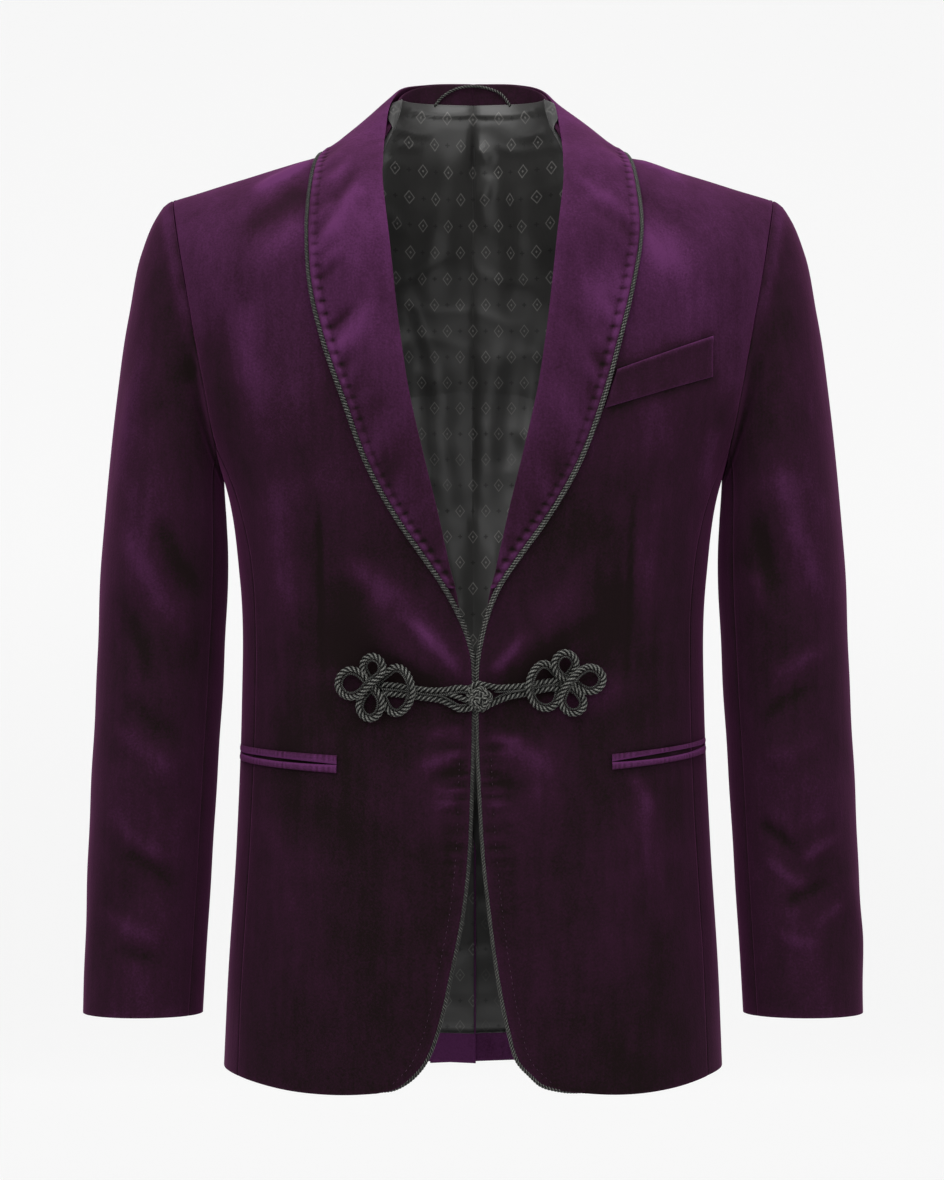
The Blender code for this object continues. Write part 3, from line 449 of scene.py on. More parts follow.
# Creases of the fronts between the largest folds: pulls towards the knot, puckers beside the edges and drags
# below the pockets. Bow curves a crease sideways at its middle
FRONT_CREASES = columns(FOLD_COLUMNS + " bow", [
    (-1, 5, -419, 66, -358, 5.2, 2.1, 4),
    (-1, 60, -364, 104, -318, 10, 1.3, 3),
    (-1, 16, -398, 98, -320, 12, 1.2, 3),
    (-1, 12, -427, 128, -366, 9, -1.3, -7),
    (-1, 30, -436, 142, -410, 9, 1.0, 5),
    (-1, 2, -455, 44, -462, 4.5, 1.3, 2),
    (-1, 2, -468, 50, -482, 5, 1.5, -3),
    (-1, 2, -484, 40, -498, 5, -1.0, 3),
    (-1, 3, -500, 34, -520, 5.5, 1.0, 2),
    (-1, 26, -480, 56, -560, 13, 0.8, -8),
    (-1, 58, -560, 40, -700, 15, 1.1, 9),
    (-1, 104, -330, 92, -420, 13, -0.9, -6),
    (-1, 152, -240, 128, -400, 14, 1.4, 9),
    (-1, 158, -500, 150, -690, 13, 1.2, -8),
    (-1, 120, -9, 178, -40, 4.0, 2.6, -2),
    (-1, 126, -10, 178, -42, 9, 0.8, -2),
    (-1, 118, -34, 186, -80, 11, -1.7, 4),
    (-1, 120, -62, 180, -112, 12, 1.1, 5),
    (-1, 176, -120, 152, -220, 15, 1.1, 8),
    (1, 9, -414, 44, -373, 5.0, 1.9, -3),
    (1, 40, -376, 96, -316, 10, 0.7, -4),
    (1, 20, -426, 122, -360, 9, -1.3, 7),
    (1, 30, -440, 138, -414, 9, 1.0, -5),
    (1, 8, -456, 46, -464, 4.5, 1.3, -2),
    (1, 14, -466, 72, -490, 9, 1.2, 4),
    (1, 8, -484, 44, -500, 5, -1.0, -3),
    (1, 9, -502, 38, -524, 5.5, 1.0, -2),
    (1, 66, -560, 58, -700, 15, 1.1, -10),
    (1, 118, -486, 138, -530, 6, 1.7, 3),
    (1, 128, -494, 164, -640, 10, 1.5, -6),
    (1, 108, -330, 98, -420, 13, -0.9, 6),
    (1, 152, -250, 132, -400, 14, 1.3, -9),
    (1, 158, -520, 150, -690, 13, 1.0, 8),
    (1, 122, -8, 172, -34, 4.0, 1.8, 2),
    (1, 120, -34, 184, -70, 11, -1.3, -4),
    (1, 118, -66, 178, -110, 12, 1.1, -5),
    (1, 190, -214, 178, -290, 8, 1.6, -3),
])

# Creases of the lapels, most of them slanting from the outer edge up to the roll
LAPEL_CREASES = columns(FOLD_COLUMNS + " bow", [
    (-1, 118, -82, 80, -18, 7.5, 1.6, 4),
    (-1, 113, -54, 86, -14, 4.5, -1.1, 3),
    (-1, 115, -36, 90, -8, 4.0, 1.1, 2),
    (-1, 120, -113, 98, -92, 3.6, -1.1, 1),
    (-1, 119, -101, 100, -82, 3.6, 0.9, 1),
    (-1, 112, -151, 88, -126, 3.6, -1.5, 1.5),
    (-1, 107, -172, 74, -116, 7.5, 1.4, 4),
    (-1, 60, -190, 104, -262, 8, -0.5, 5),
    (1, 114, -54, 70, -16, 5.5, 1.0, 4),
    (1, 128, -92, 86, -48, 5, -0.8, -3),
    (1, 124, -156, 72, -84, 7, 0.8, 6),
    (1, 126, -150, 96, -120, 4.5, -0.7, -2),
    (1, 64, -126, 112, -196, 8, -0.5, 6),
    (1, 58, -180, 110, -262, 9, 0.7, -5),
])

# Darts: a sewn line down each front
DARTS = columns(FOLD_COLUMNS + " bow", [
    (-1, 119, -262, 114, -455, 2.2, -1.4, 0),
    (1, 123, -264, 116, -455, 2.2, -1.4, 0),
])

# Creases of the back
BACK_CREASES = columns(FOLD_COLUMNS + " bow", [
    (-1, 40, -130, 120, -240, 18, 1.2, 10),
    (-1, 150, -180, 96, -300, 16, -1.2, -9),
    (-1, 150, -330, 40, -400, 13, 1.3, 8),
    (-1, 140, -410, 44, -446, 12, -1.1, -7),
    (-1, 118, -470, 92, -690, 20, 1.3, 12),
    (-1, 58, -480, 66, -600, 16, -1.0, -8),
    (1, 44, -120, 124, -230, 18, 1.2, -9),
    (1, 146, -190, 92, -310, 16, -1.2, 10),
    (1, 152, -340, 36, -396, 13, 1.3, -7),
    (1, 144, -418, 40, -452, 12, -1.1, 8),
    (1, 112, -480, 96, -690, 20, 1.3, -11),
    (1, 62, -470, 70, -610, 16, -1.0, 9),
])

# Creases of the sleeves: below the head, at the bend of the elbow and above the cuff
SLEEVE_CREASES = columns(FOLD_COLUMNS + " bow", [
    (-1, -120, -58, -84, -76, 4.6, -2.6, 3),
    (-1, -124, -80, -78, -98, 4.4, 1.8, -3),
    (-1, -126, -98, -80, -122, 5.0, -2.6, 4),
    (-1, -122, -128, -74, -150, 6.0, 1.4, -4),
    (-1, -126, -150, -92, -190, 7.0, -1.8, 4),
    (-1, -60, -150, -40, -280, 11, 1.3, 5),
    (-1, -50, -288, -132, -396, 10, 1.9, 6),
    (-1, -82, -284, -140, -362, 9, -2.0, 4),
    (-1, -40, -340, -96, -430, 9, -1.3, -5),
    (-1, -60, -424, -134, -470, 8, -1.3, 5),
    (-1, -46, -452, -124, -504, 8, 1.4, -5),
    (-1, -50, -516, -122, -562, 6.5, 1.4, 5),
    (-1, -64, -548, -132, -586, 6, -1.5, -4),
    (-1, -40, -592, -124, -620, 7, 1.5, 5),
    (-1, -58, -626, -120, -640, 5.5, -1.2, -3),
    (-1, 70, -250, 20, -360, 8.6, 1.2, 8),
    (-1, 112, -410, 40, -480, 7.9, 1.4, -8),
    (-1, 100, -520, 40, -640, 8.6, -1.2, 8),
    (1, -122, -60, -86, -76, 4.6, -1.8, -3),
    (1, -124, -84, -80, -102, 4.4, 1.5, 3),
    (1, -126, -112, -84, -134, 5.4, -1.8, -4),
    (1, -96, -240, -48, -372, 10, 1.6, -6),
    (1, -122, -270, -84, -380, 9, -1.6, -5),
    (1, -128, -330, -108, -372, 5.5, 1.2, 3),
    (1, -112, -420, -42, -390, 6.5, 1.7, 4),
    (1, -122, -448, -56, -420, 6, -1.5, 4),
    (1, -126, -480, -50, -452, 8, 1.2, -4),
    (1, -132, -526, -88, -556, 5.2, -2.1, 3),
    (1, -92, -560, -42, -536, 5.2, 1.8, 3),
    (1, -128, -552, -72, -584, 5.0, 1.9, -3),
    (1, -112, -594, -50, -572, 5.2, -1.9, 3),
    (1, -120, -612, -70, -622, 5.5, 1.5, -3),
    (1, -80, -610, -38, -588, 6, 1.4, 2),
    (1, 68, -250, 18, -370, 8.6, 1.2, -8),
    (1, 114, -400, 42, -486, 7.9, 1.4, 8),
    (1, 102, -530, 38, -640, 8.6, -1.2, -8),
])

# Soft folds of the lining, by the distance from the middle and the height. They only stand inwards
LINING_CREASES = columns(FOLD_COLUMNS + " bow", [
    (-1, 66, 22, 30, 17, 3.0, 1.7, 1.5),
    (-1, 62, 8, 40, 4, 2.8, 1.5, -1.5),
    (-1, 72, -4, 46, -9, 2.8, 1.3, 1),
    (-1, 78, -40, 46, -74, 4.5, 2.4, -3),
    (-1, 8, 30, 26, -150, 12, 3.2, 5),
    (-1, 34, 26, 58, -110, 11, 2.8, -5),
    (-1, 52, -60, 20, -190, 9, 3.0, 6),
    (-1, 30, -130, 12, -330, 12, 3.4, 5),
    (-1, 62, -120, 46, -330, 11, 2.6, 4),
    (-1, 20, -300, 8, -420, 9, 2.6, -3),
    (-1, 16, -560, 26, -700, 8, 1.4, 3),
    (1, 5, 12, 15, -8, 4.0, 3.0, 2),
    (1, 15, -10, 6, -36, 4.0, 2.8, 2),
    (1, 60, 20, 34, 15, 2.8, 1.3, 1.5),
    (1, 6, 26, 12, -70, 8, 3.8, -3),
    (1, 28, 26, 44, -150, 11, 3.0, 4),
    (1, 50, 10, 30, -170, 9, 2.8, -5),
    (1, 24, -120, 10, -320, 12, 3.4, -5),
    (1, 56, -110, 44, -320, 11, 2.6, -4),
    (1, 18, -290, 7, -420, 9, 2.6, 3),
    (1, 26, -560, 36, -700, 8, 1.4, -3),
])


def through(stations, values):
    """A smooth function that passes through every row of a table."""
    stations = np.asarray(stations, float)
    values = np.asarray(values, float)
    slopes = np.gradient(values, stations, axis=0)

    def at(station):
        station = np.clip(np.asarray(station, float), stations[0], stations[-1])
        low = np.clip(np.searchsorted(stations, station, side="right") - 1, 0, len(stations) - 2)
        wide = np.shape(low) + (1,) * (values.ndim - 1)
        span = np.reshape(stations[low + 1] - stations[low], wide)
        share = np.reshape(station - stations[low], wide) / span
        keep = (1 + 2 * share) * (1 - share) ** 2
        gain = share ** 2 * (3 - 2 * share)
        lead = share * (1 - share) ** 2 * span
        trail = share ** 2 * (share - 1) * span
        return keep * values[low] + gain * values[low + 1] + lead * slopes[low] + trail * slopes[low + 1]

    return at


half_width = through(TORSO["height"], TORSO["half_width"])
front_depth = through(TORSO["height"], TORSO["front_depth"])
back_depth = through(TORSO["height"], TORSO["back_depth"])


def ease(share):
    """From 0 to 1 with level ends."""
    share = np.clip(share, 0, 1)
    return share * share * (3 - 2 * share)


def rising(value, start, end):
    """From 0 where a value is at the start to 1 where it is at the end, with level ends."""
    return ease((value - start) / (end - start))


def near(distance, width):
    """A bell: 1 at no distance, and almost nothing from two widths on."""
    return np.exp(-(distance / width) ** 2)


def fading(distance, run):
    """1 at no distance, and less by the same share for each run."""
    return np.exp(-distance / run)


def blend(first, second, share):
    return first + (second - first) * share


def unit(vectors):
    """Vectors of the same directions and of length 1."""
    return vectors / np.linalg.norm(vectors, axis=-1, keepdims=True)


def run_along(points):
    """Distances along a line of points from its first one."""
    return np.concatenate([[0], np.cumsum(np.linalg.norm(np.diff(points, axis=0), axis=1))])


def rows_of(table):
    """The rows of a table, each with its values by name."""
    return [dict(zip(table, row)) for row in zip(*table.values())]


def mirrored(points, side):
    """Points made for the wearer's left, put on the side asked for."""
    return points * np.array([side, 1, 1])


def armhole_x(z):
    """The armhole plane's distance from the middle at a height."""
    rise = (z - UNDERARM_Z) / (SHOULDER_TIP_Z - UNDERARM_Z)
    return blend(UNDERARM_X, SHOULDER_TIP_X, rise)


def shoulder_line(x):
    return SHOULDER_TIP_Z + (SHOULDER_TIP_X - np.abs(x)) * SHOULDER_SLOPE


def neck_ridge(x):
    """Depth and height of the back's top line: the neck edge, then the shoulder seam."""
    share = np.clip(1 - (np.abs(x) / NECK_HALF_WIDTH) ** 2, 0, 1)
    ridge_z = shoulder_line(np.maximum(np.abs(x), NECK_HALF_WIDTH)) + NECK_RISE * share
    return RIDGE_Y + NECK_DEPTH * share ** NECK_CURVE, ridge_z


def ring_depth(x, z, depth):
    reach = np.clip(np.abs(x) / half_width(z), 0, FARTHEST_REACH)
    return depth * (1 - reach ** ROUNDNESS) ** (1 / ROUNDNESS)


def arch(drop):
    """How far the cloth has rounded over the shoulder at a drop below its ridge."""
    rest = 1 - np.clip(drop / SHOULDER_DROP, 0, 1)
    return np.sqrt(1 - rest ** 2)


def fold_rise(folds, side, across, height):
    """Sum of the soft ridges and troughs of one side at a place on its cloth."""
    total = np.zeros_like(across * 1.0)
    for fold in rows_of(folds):
        if fold["side"] != side:
            continue
        from_start = across - fold["from_across"]
        from_top = height - fold["from_z"]
        run_across = fold["to_across"] - fold["from_across"]
        run_z = fold["to_z"] - fold["from_z"]
        length = np.hypot(run_across, run_z)
        along = (from_start * run_across + from_top * run_z) / length ** 2
        apart = (from_start * run_z - from_top * run_across) / length
        apart = apart + fold.get("bow", 0.0) * 4 * along * (1 - along)
        fade = ease(along / FOLD_LEAD) * ease((1 - along) / FOLD_TRAIL)
        total = total + fold["rise"] * fade * near(apart, fold["width"])
    return total


def front_y(x, z):
    """The front's depth, with its largest folds."""
    depth = ring_depth(x, z, front_depth(z))
    plain = RIDGE_Y - (depth + RIDGE_Y) * arch(shoulder_line(x) - z)
    rise = np.where(x < 0, fold_rise(FRONT_FOLDS, -1, -x, z), fold_rise(FRONT_FOLDS, 1, x, z))
    return plain - rise * ease((panel_side_x(z, FRONT_NOTCH_Z, FRONT_SEAM_REACH) - np.abs(x)) / FOLD_FADE)


def back_y(x, z, layer=0.0):
    """The back's depth. A layer of 1 or -1 is the outer or inner leaf of the vent."""
    ridge_y, ridge_z = neck_ridge(x)
    depth = ring_depth(x, z, back_depth(z))
    step = VENT_STEP * layer * ease((VENT_TOP_Z - z) / VENT_RAMP) * ease(2 - 2 * np.abs(x) / VENT_WIDTH)
    return ridge_y + (depth - ridge_y) * arch(ridge_z - z) + step


def moved_out(surface, x, z, out, outward, top):
    """Points of a front or back, moved out along its normal. On the top line they move straight up."""
    step = 1.0
    y = surface(x, z)
    slope_x = (surface(x + step, z) - surface(x - step, z)) / (2 * step)
    slope_z = (y - surface(x, z - step)) / step
    normal = unit(np.stack([-slope_x, np.ones_like(y), -slope_z], -1) * outward)
    on_top = (top - z < RIDGE_BAND)[..., None]
    normal = np.where(on_top, np.array([0.0, 0.0, 1.0]), normal)
    return np.stack([x, y, z], -1) + normal * np.asarray(out)[..., None]


def front_point(x, z, out=0.0):
    x, z = np.broadcast_arrays(np.asarray(x, float), np.asarray(z, float))
    return moved_out(front_y, x, z, out, -1, shoulder_line(x))


def back_point(x, z, out=0.0, layer=0.0):
    x, z = np.broadcast_arrays(np.asarray(x, float), np.asarray(z, float))
    return moved_out(lambda a, b: back_y(a, b, layer), x, z, out, 1, neck_ridge(x)[1])


def turn_of(reach):
    """The turn round the body, from the front, whose distance out is this share of the half width."""
    return np.arcsin(np.clip(reach, 0, 1) ** (ROUNDNESS / 2))


def ring_point(turn, z, out=0.0):
    """A point of the body below the armholes, by its turn from the middle of the front to the back."""
    def place(angle, height):
        x = half_width(height) * np.sin(angle) ** (2 / ROUNDNESS)
        cosine = np.cos(angle)
        depth = np.where(cosine > 0, -front_depth(height), back_depth(height))
        return np.stack([x, depth * np.abs(cosine) ** (2 / ROUNDNESS), height + 0 * x], -1)

    turn, z = np.broadcast_arrays(np.asarray(turn, float), np.asarray(z, float))
    step = 0.01
    around = place(turn + step, z) - place(turn - step, z)
    along = place(turn, z + 1) - place(turn, z - 1)
    return place(turn, z) + unit(np.cross(around, along)) * np.asarray(out)[..., None]


def seam_reach(z, notch_z, lower_reach):
    """Share of the half width where a side seam runs: from the notch it drifts to its lower place."""
    notch_reach = armhole_x(notch_z) / half_width(notch_z)
    return blend(lower_reach, notch_reach, rising(z, SEAM_DRIFT_END_Z, notch_z))


def panel_side_x(z, notch_z, lower_reach):
    """Outer edge of a front or back: the side seam up to its notch, then the armhole."""
    return np.where(z < notch_z, seam_reach(z, notch_z, lower_reach) * half_width(z), armhole_x(z))


def shoulder_top(x, y):
    """Height of the cloth over the shoulder at a place in plan."""
    level = SHOULDER_TIP_Z
    ridge_y, ridge_z = neck_ridge(x)
    before = (RIDGE_Y - y) / (RIDGE_Y + ring_depth(x, level, front_depth(level)))
    behind = (y - ridge_y) / (ring_depth(x, level, back_depth(level)) - ridge_y)
    share = np.clip(np.where(y < RIDGE_Y, before, behind), 0, 1)
    top = np.where(y < RIDGE_Y, shoulder_line(x), ridge_z)
    return top - SHOULDER_DROP * (1 - np.sqrt(1 - share ** 2))


def even_path(points, spacing, bend):
    """A smooth curve through a few points, read at an even spacing and closer where it bends."""
    points = np.asarray(points, float)
    station = run_along(points)
    fine = through(station, points)(np.linspace(0, station[-1], 40 * len(points)))
    step = np.diff(fine, axis=0)
    length = np.linalg.norm(step, axis=1)
    heading = step / length[:, None]
    turn = np.arccos(np.clip(np.sum(heading[1:] * heading[:-1], axis=1), -1, 1))
    effort = length / spacing + np.concatenate([[0], turn]) / np.radians(bend)
    run = np.concatenate([[0], np.cumsum(effort)])
    return read_at(np.linspace(0, run[-1], int(np.ceil(run[-1])) + 1), run, fine)


def read_at(wanted, run, points):
    """Places on a line of points, by a run that grows along it."""
    return np.stack([np.interp(wanted, run, points[:, axis]) for axis in range(3)], -1)


def front_outline(side_name):
    """Inner and outer ends of a front's rows, from the hem to the shoulder, as (x, z) pairs."""
    run_x, run_z = np.gradient(FRONT_EDGE[side_name]), np.gradient(FRONT_EDGE["height"])
    keep_off = (PIPING_RADIUS - PIPING_SINK) / np.hypot(run_x, run_z)
    edge_x = np.concatenate([FRONT_EDGE[side_name] + run_z * keep_off, ROLL_LINE["reach"] + FRONT_ROLL_INSET])
    edge_z = np.concatenate([FRONT_EDGE["height"] - run_x * keep_off, ROLL_LINE["height"]])
    edge_z[-1] = shoulder_line(edge_x[-1])
    side_z = np.concatenate([FRONT_EDGE["side_height"], ROLL_LINE["side_height"]])
    side_x = panel_side_x(side_z, FRONT_NOTCH_Z, FRONT_SEAM_REACH)
    side_z[-1] = shoulder_line(side_x[-1])
    return edge_x, edge_z, side_x, side_z


def armhole_loop(turn):
    """The armhole seam by turn: 0 at the shoulder tip, then minus through the front to the underarm."""
    height = blend(UNDERARM_Z, SHOULDER_TIP_Z, (1 + np.cos(turn)) / 2)
    x = armhole_x(height)
    rounded = arch(shoulder_line(x) - height)
    front = RIDGE_Y - (ring_depth(x, height, front_depth(height)) + RIDGE_Y) * rounded
    back = RIDGE_Y + (ring_depth(x, height, back_depth(height)) - RIDGE_Y) * rounded
    return np.stack([x + SLEEVE_GAP, np.where(turn < 0, front, back), height], -1)


def sleeve_rings(turns, shares, side):
    """Rings of a sleeve from the armhole to the cuff and the way out from each, on the wearer's left."""
    inner = np.stack([SLEEVE["inner_x"], SLEEVE["middle_y"], SLEEVE["inner_z"]], -1)
    outer = np.stack([SLEEVE["outer_x"], SLEEVE["middle_y"], SLEEVE["outer_z"]], -1)
    middle = (inner + outer) / 2
    half = (outer - inner) / 2
    depth = np.where(turns < 0, SLEEVE["front_depth"][:, None], SLEEVE["back_depth"][:, None])
    rings = middle[:, None] + half[:, None] * np.cos(turns)[:, None]
    rings[..., 1] += depth * np.sin(turns)
    head_x = (UNDERARM_X + SHOULDER_TIP_X) / 2 + SLEEVE_GAP
    head_middle = np.array([[head_x, RIDGE_Y, (UNDERARM_Z + SHOULDER_TIP_Z) / 2]])
    rings = np.concatenate([armhole_loop(turns)[None], rings])
    middle = np.concatenate([head_middle, middle])
    station = run_along(middle)
    points = through(station, rings)(shares * station[-1])
    centre = through(station, middle)(shares * station[-1])[:, None]
    out = unit(points - centre)
    turn_grid = np.broadcast_to(np.degrees(turns), points.shape[:2])
    rise = fold_rise(SLEEVE_FOLDS, side, turn_grid, points[..., 2])
    return points + out * rise[..., None], out


def lapel_edge(side_name):
    return through(LAPEL_EDGE["height"], LAPEL_EDGE[side_name])


def neck_sections(across, lift, keep_off):
    """Sections of the collar behind and beside the neck, on the wearer's left, from the roll to the edge."""
    sections = []
    for back in rows_of(COLLAR_BACK):
        roll = np.array([back["roll_x"], back["roll_y"], back["roll_z"]])
        edge = np.array([back["edge_x"], back["edge_y"], shoulder_top(back["edge_x"], back["edge_y"]) + lift])
        edge += unit(roll - edge) * keep_off
        line = blend(roll, edge, across[:, None])
        swell = line[:, 2] + COLLAR_SWELL * np.sin(np.pi * across)
        line[:, 2] = np.maximum(swell, shoulder_top(line[:, 0], line[:, 1]) + lift)
        sections.append(line)
    return sections


def lapel_sections(side_name, side, across, lift, keep_off):
    """Sections of one lapel down the front, each from the roll to the edge, with a soft belly between."""
    roll_reach = through(ROLL_LINE["height"], ROLL_LINE["reach"])
    edge_reach = lapel_edge(side_name)
    sections = []
    for roll_z, edge_z in zip(COLLAR_FRONT["roll_height"], COLLAR_FRONT["edge_height"]):
        roll = np.array([roll_reach(roll_z), roll_z])
        edge = np.array([edge_reach(edge_z), edge_z])
        width = np.linalg.norm(roll - edge)
        edge += (roll - edge) / width * keep_off
        line = blend(roll, edge, across[:, None])
        belly = min(width * LAPEL_BELLY_SHARE, LAPEL_BELLY) * np.sin(np.pi * across) ** LAPEL_BELLY_POWER
        sections.append(front_point(side * line[:, 0], line[:, 1], lift + belly))
    return sections


def collar_grid(side_name, side, across):
    """The outer face of one half of the collar, from the middle of the back to the break."""
    lift = LAY_CLEAR + COLLAR_WALL
    keep_off = PIPING_RADIUS - PIPING_SINK
    neck = [mirrored(section, side) for section in neck_sections(across, lift, keep_off)]
    placed = np.array(neck + lapel_sections(side_name, side, across, lift, keep_off))
    station = run_along(placed.mean(1))
    grid = through(station, placed)(np.linspace(0, station[-1], COLLAR_ROWS))
    over = shoulder_top(np.abs(grid[..., 0]), grid[..., 1]) + lift
    grid[..., 2] = np.where(grid[..., 2] > SHOULDER_TIP_Z, np.maximum(grid[..., 2], over), grid[..., 2])
    return grid


def grid_normals(grid):
    """Normals of a grid of points, from its own rows and columns."""
    return unit(np.cross(np.gradient(grid, axis=0), np.gradient(grid, axis=1)))


def away_from_neck(points):
    """Level directions out from the middle of the neck."""
    return unit((points - [0, RIDGE_Y, 0]) * [1, 1, 0])


def stand_rails():
    """The collar stand's lower and upper lines on the wearer's left, from the middle of the back forwards."""
    lower, upper = [], []
    for stand, back in zip(rows_of(STAND_FOOT), rows_of(COLLAR_BACK)):
        foot_x, foot_z = stand["foot_x"], stand["foot_height"]
        roll = np.array([back["roll_x"], back["roll_y"], back["roll_z"]])
        foot = front_point(foot_x, foot_z) if foot_z < 0 else np.array([foot_x, *neck_ridge(foot_x)])
        outwards = away_from_neck(roll)
        lower.append(foot + np.array([0, 0, STAND_FOOT_LIFT]) - outwards * STAND_FOOT_INSET)
        upper.append(roll - np.array([0, 0, STAND_TOP_DROP]) - outwards * STAND_TOP_INSET)
    return np.array(lower), np.array(upper)


def piping_path(side_name, side):
    """The piping's middle line: round the collar, then down the lapel and the front edge to the hem."""
    edge_x, edge_y = COLLAR_BACK["edge_x"], COLLAR_BACK["edge_y"]
    neck = np.stack([edge_x, edge_y, shoulder_top(edge_x, edge_y) + PIPING_RADIUS + PIPING_NECK_LIFT], -1)
    lapel_z = COLLAR_FRONT["edge_height"]
    lapel = front_point(side * lapel_edge(side_name)(lapel_z), lapel_z, LAY_CLEAR + PIPING_RADIUS)
    grid = front_grid(side_name, side)[0][::-1]
    grid = grid[grid[:, 0, 2] < PIPING_SINK_Z - PIPING_SINK_RUN]
    outward = unit(grid[:, 0] - grid[:, 2])
    front = grid[:, 0] + outward * (PIPING_RADIUS - PIPING_SINK) + [0, PANEL_WALL / 2, 0]
    left_to_go = np.linalg.norm(front - front[-1], axis=1, keepdims=True)
    sink = ease(1 - left_to_go / PIPING_END_RUN)
    front = front - sink * (PIPING_END_TUCK * PIPING_RADIUS * outward - [0, 2 * PIPING_RADIUS, 0])
    picked = np.linspace(0, len(front) - 1, len(front) // 3).round().astype(int)
    return even_path(np.concatenate([mirrored(neck, side), lapel, front[picked]]), spacing=4.0, bend=6.0)


def frog_path(side_name, steps, out):
    """Places on a front for a frog's path, from its table."""
    knot_along, knot_down = FROG_KNOT_AT[side_name]
    x = KNOT["x"] + (steps["along"] - knot_along) * FROG_STEP
    return front_point(x, KNOT["z"] + (knot_down - steps["down"]) * FROG_STEP, out)


def spaced(line, last, spacing):
    """Stations from 0 to last, evenly apart in mm along the line that a function draws.

    They are closer at both ends.
    """
    fine = last * np.sin(np.linspace(0, np.pi / 2, 3001))
    run = run_along(line(fine))
    inside = np.linspace(EDGE_STEPS[-1], run[-1] - EDGE_STEPS[-1], int(run[-1] / spacing) + 1)
    wanted = np.concatenate([[0], EDGE_STEPS[:-1], inside, run[-1] - EDGE_STEPS[-2::-1], [run[-1]]])
    return np.interp(wanted, run, fine)


def edge_shares(length, spacing):
    """Shares of a width in mm, evenly apart and closer at both ends."""
    return spaced(lambda share: np.stack([share * length, 0 * share], -1), 1.0, spacing)


def reach_from_edges(grid):
    """Distances along a grid's own lines to its first row, last row, first column and last column."""
    down = np.cumsum(np.linalg.norm(np.diff(grid, axis=0), axis=-1), axis=0)
    over = np.cumsum(np.linalg.norm(np.diff(grid, axis=1), axis=-1), axis=1)
    first_row = np.concatenate([np.zeros_like(down[:1]), down])
    first_column = np.concatenate([np.zeros_like(over[:, :1]), over], axis=1)
    return {
        "first_row": first_row,
        "last_row": first_row[-1:] - first_row,
        "first_column": first_column,
        "last_column": first_column[:, -1:] - first_column,
    }


def seam_dip(*reaches):
    """How far cloth pulls in beside its sewn edges."""
    return -SEAM_PULL * near(np.min(reaches, axis=0), SEAM_WIDTH)


def unevenness(points, size, seed):
    """A smooth wander between about -1 and 1 over points in mm, with swells of about this size."""
    chance = np.random.default_rng(seed)
    waves = chance.normal(size=(WAVE_COUNT, 3)) * 2 / size
    starts = chance.uniform(0, 2 * np.pi, WAVE_COUNT)
    return np.sin(points @ waves.T + starts).sum(-1) / WAVE_SPREAD


def mesh_piece(name, points, faces, finish):
    """A smooth piece at the origin from points in mm."""
    mesh = bpy.data.meshes.new(name)
    mesh.from_pydata((points * MM).tolist(), [], faces.tolist())
    mesh.shade_smooth()
    mesh.materials.append(finish)
    made = bpy.data.objects.new(name, mesh)
    bpy.context.scene.collection.objects.link(made)
    return made


def add_map(mesh, name, values):
    """A UV map from one pair of values a point."""
    corners = np.zeros(len(mesh.loops), np.int32)
    mesh.loops.foreach_get("vertex_index", corners)
    layer = mesh.uv_layers.new(name=name)
    layer.data.foreach_set("uv", values[corners].astype(np.float32).ravel())


def add_value(mesh, name, values):
    """One number a point, for a material to read."""
    made = mesh.attributes.new(name, "FLOAT", "POINT")
    made.data.foreach_set("value", values.astype(np.float32).ravel())


def add_weave(piece, grid, shade):
    """Places for the lining's woven repeat and the painted light and shade on its colour, the same on both
    faces.
    """
    weave = grid[..., [0, 2]].reshape(-1, 2) * MM
    add_map(piece.data, "weave", np.concatenate([weave, weave]))
    add_value(piece.data, "shade", np.concatenate([shade.ravel(), shade.ravel()]))


def cloth(name, grid, facing, thickness, rise, finish, nap=None, inner_nap=None, edge_round=EDGE_ROUND):
    """A closed shell of cloth on a grid of points, raised along its normals, with rounded edges.

    Facing is a direction that its outer face looks towards. The nap values say how light the velvet's colour
    is:
    partly the lie of its pile, and partly painted light and shade. The inner values are the same for the
    inner face.
    """
    normal = grid_normals(grid)
    normal *= np.sign(np.sum(normal * facing))
    nearest = np.min(list(reach_from_edges(grid).values()), axis=0)
    bend = np.clip(1 - nearest / edge_round, 0, 1)
    tuck = thickness / 2 * (1 - np.sqrt(1 - bend ** 2))
    outer = grid + normal * (rise - tuck)[..., None]
    inner = grid + normal * (rise - thickness + tuck)[..., None]
    count = grid.shape[0] * grid.shape[1]
    index = np.arange(count).reshape(grid.shape[:2])
    quads = np.stack([index[:-1, :-1], index[:-1, 1:], index[1:, 1:], index[1:, :-1]], -1).reshape(-1, 4)
    edge = np.concatenate([index[0, :-1], index[:-1, -1], index[-1, :0:-1], index[:0:-1, 0]])
    after = np.roll(edge, -1)
    rim = np.stack([edge, edge + count, after + count, after], -1)
    faces = np.concatenate([quads, quads[:, [0, 3, 2, 1]] + count, rim])
    points = np.concatenate([outer.reshape(-1, 3), inner.reshape(-1, 3)])
    first = points[quads[0]]
    if np.cross(first[1] - first[0], first[3] - first[0]) @ normal[0, 0] < 0:
        faces = faces[:, ::-1]
    made = mesh_piece(name, points, faces, finish)
    if nap is not None:
        inner_nap = nap * INNER_NAP_SHARE if inner_nap is None else inner_nap
        add_value(made.data, "nap", np.concatenate([nap.ravel(), inner_nap.ravel()]))
    return made


def settle(piece, solid):
    """Puts a finished piece on the body, in place of its solid where it has one."""
    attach(piece, "root")
    if solid:
        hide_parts(solid)


# A front's spacing of rows and columns, its usual width, and the share of it where its rows are spaced
FRONT_SPACING = 3.2
FRONT_WIDTH = 170.0
FRONT_ROW_SHARE = 0.55


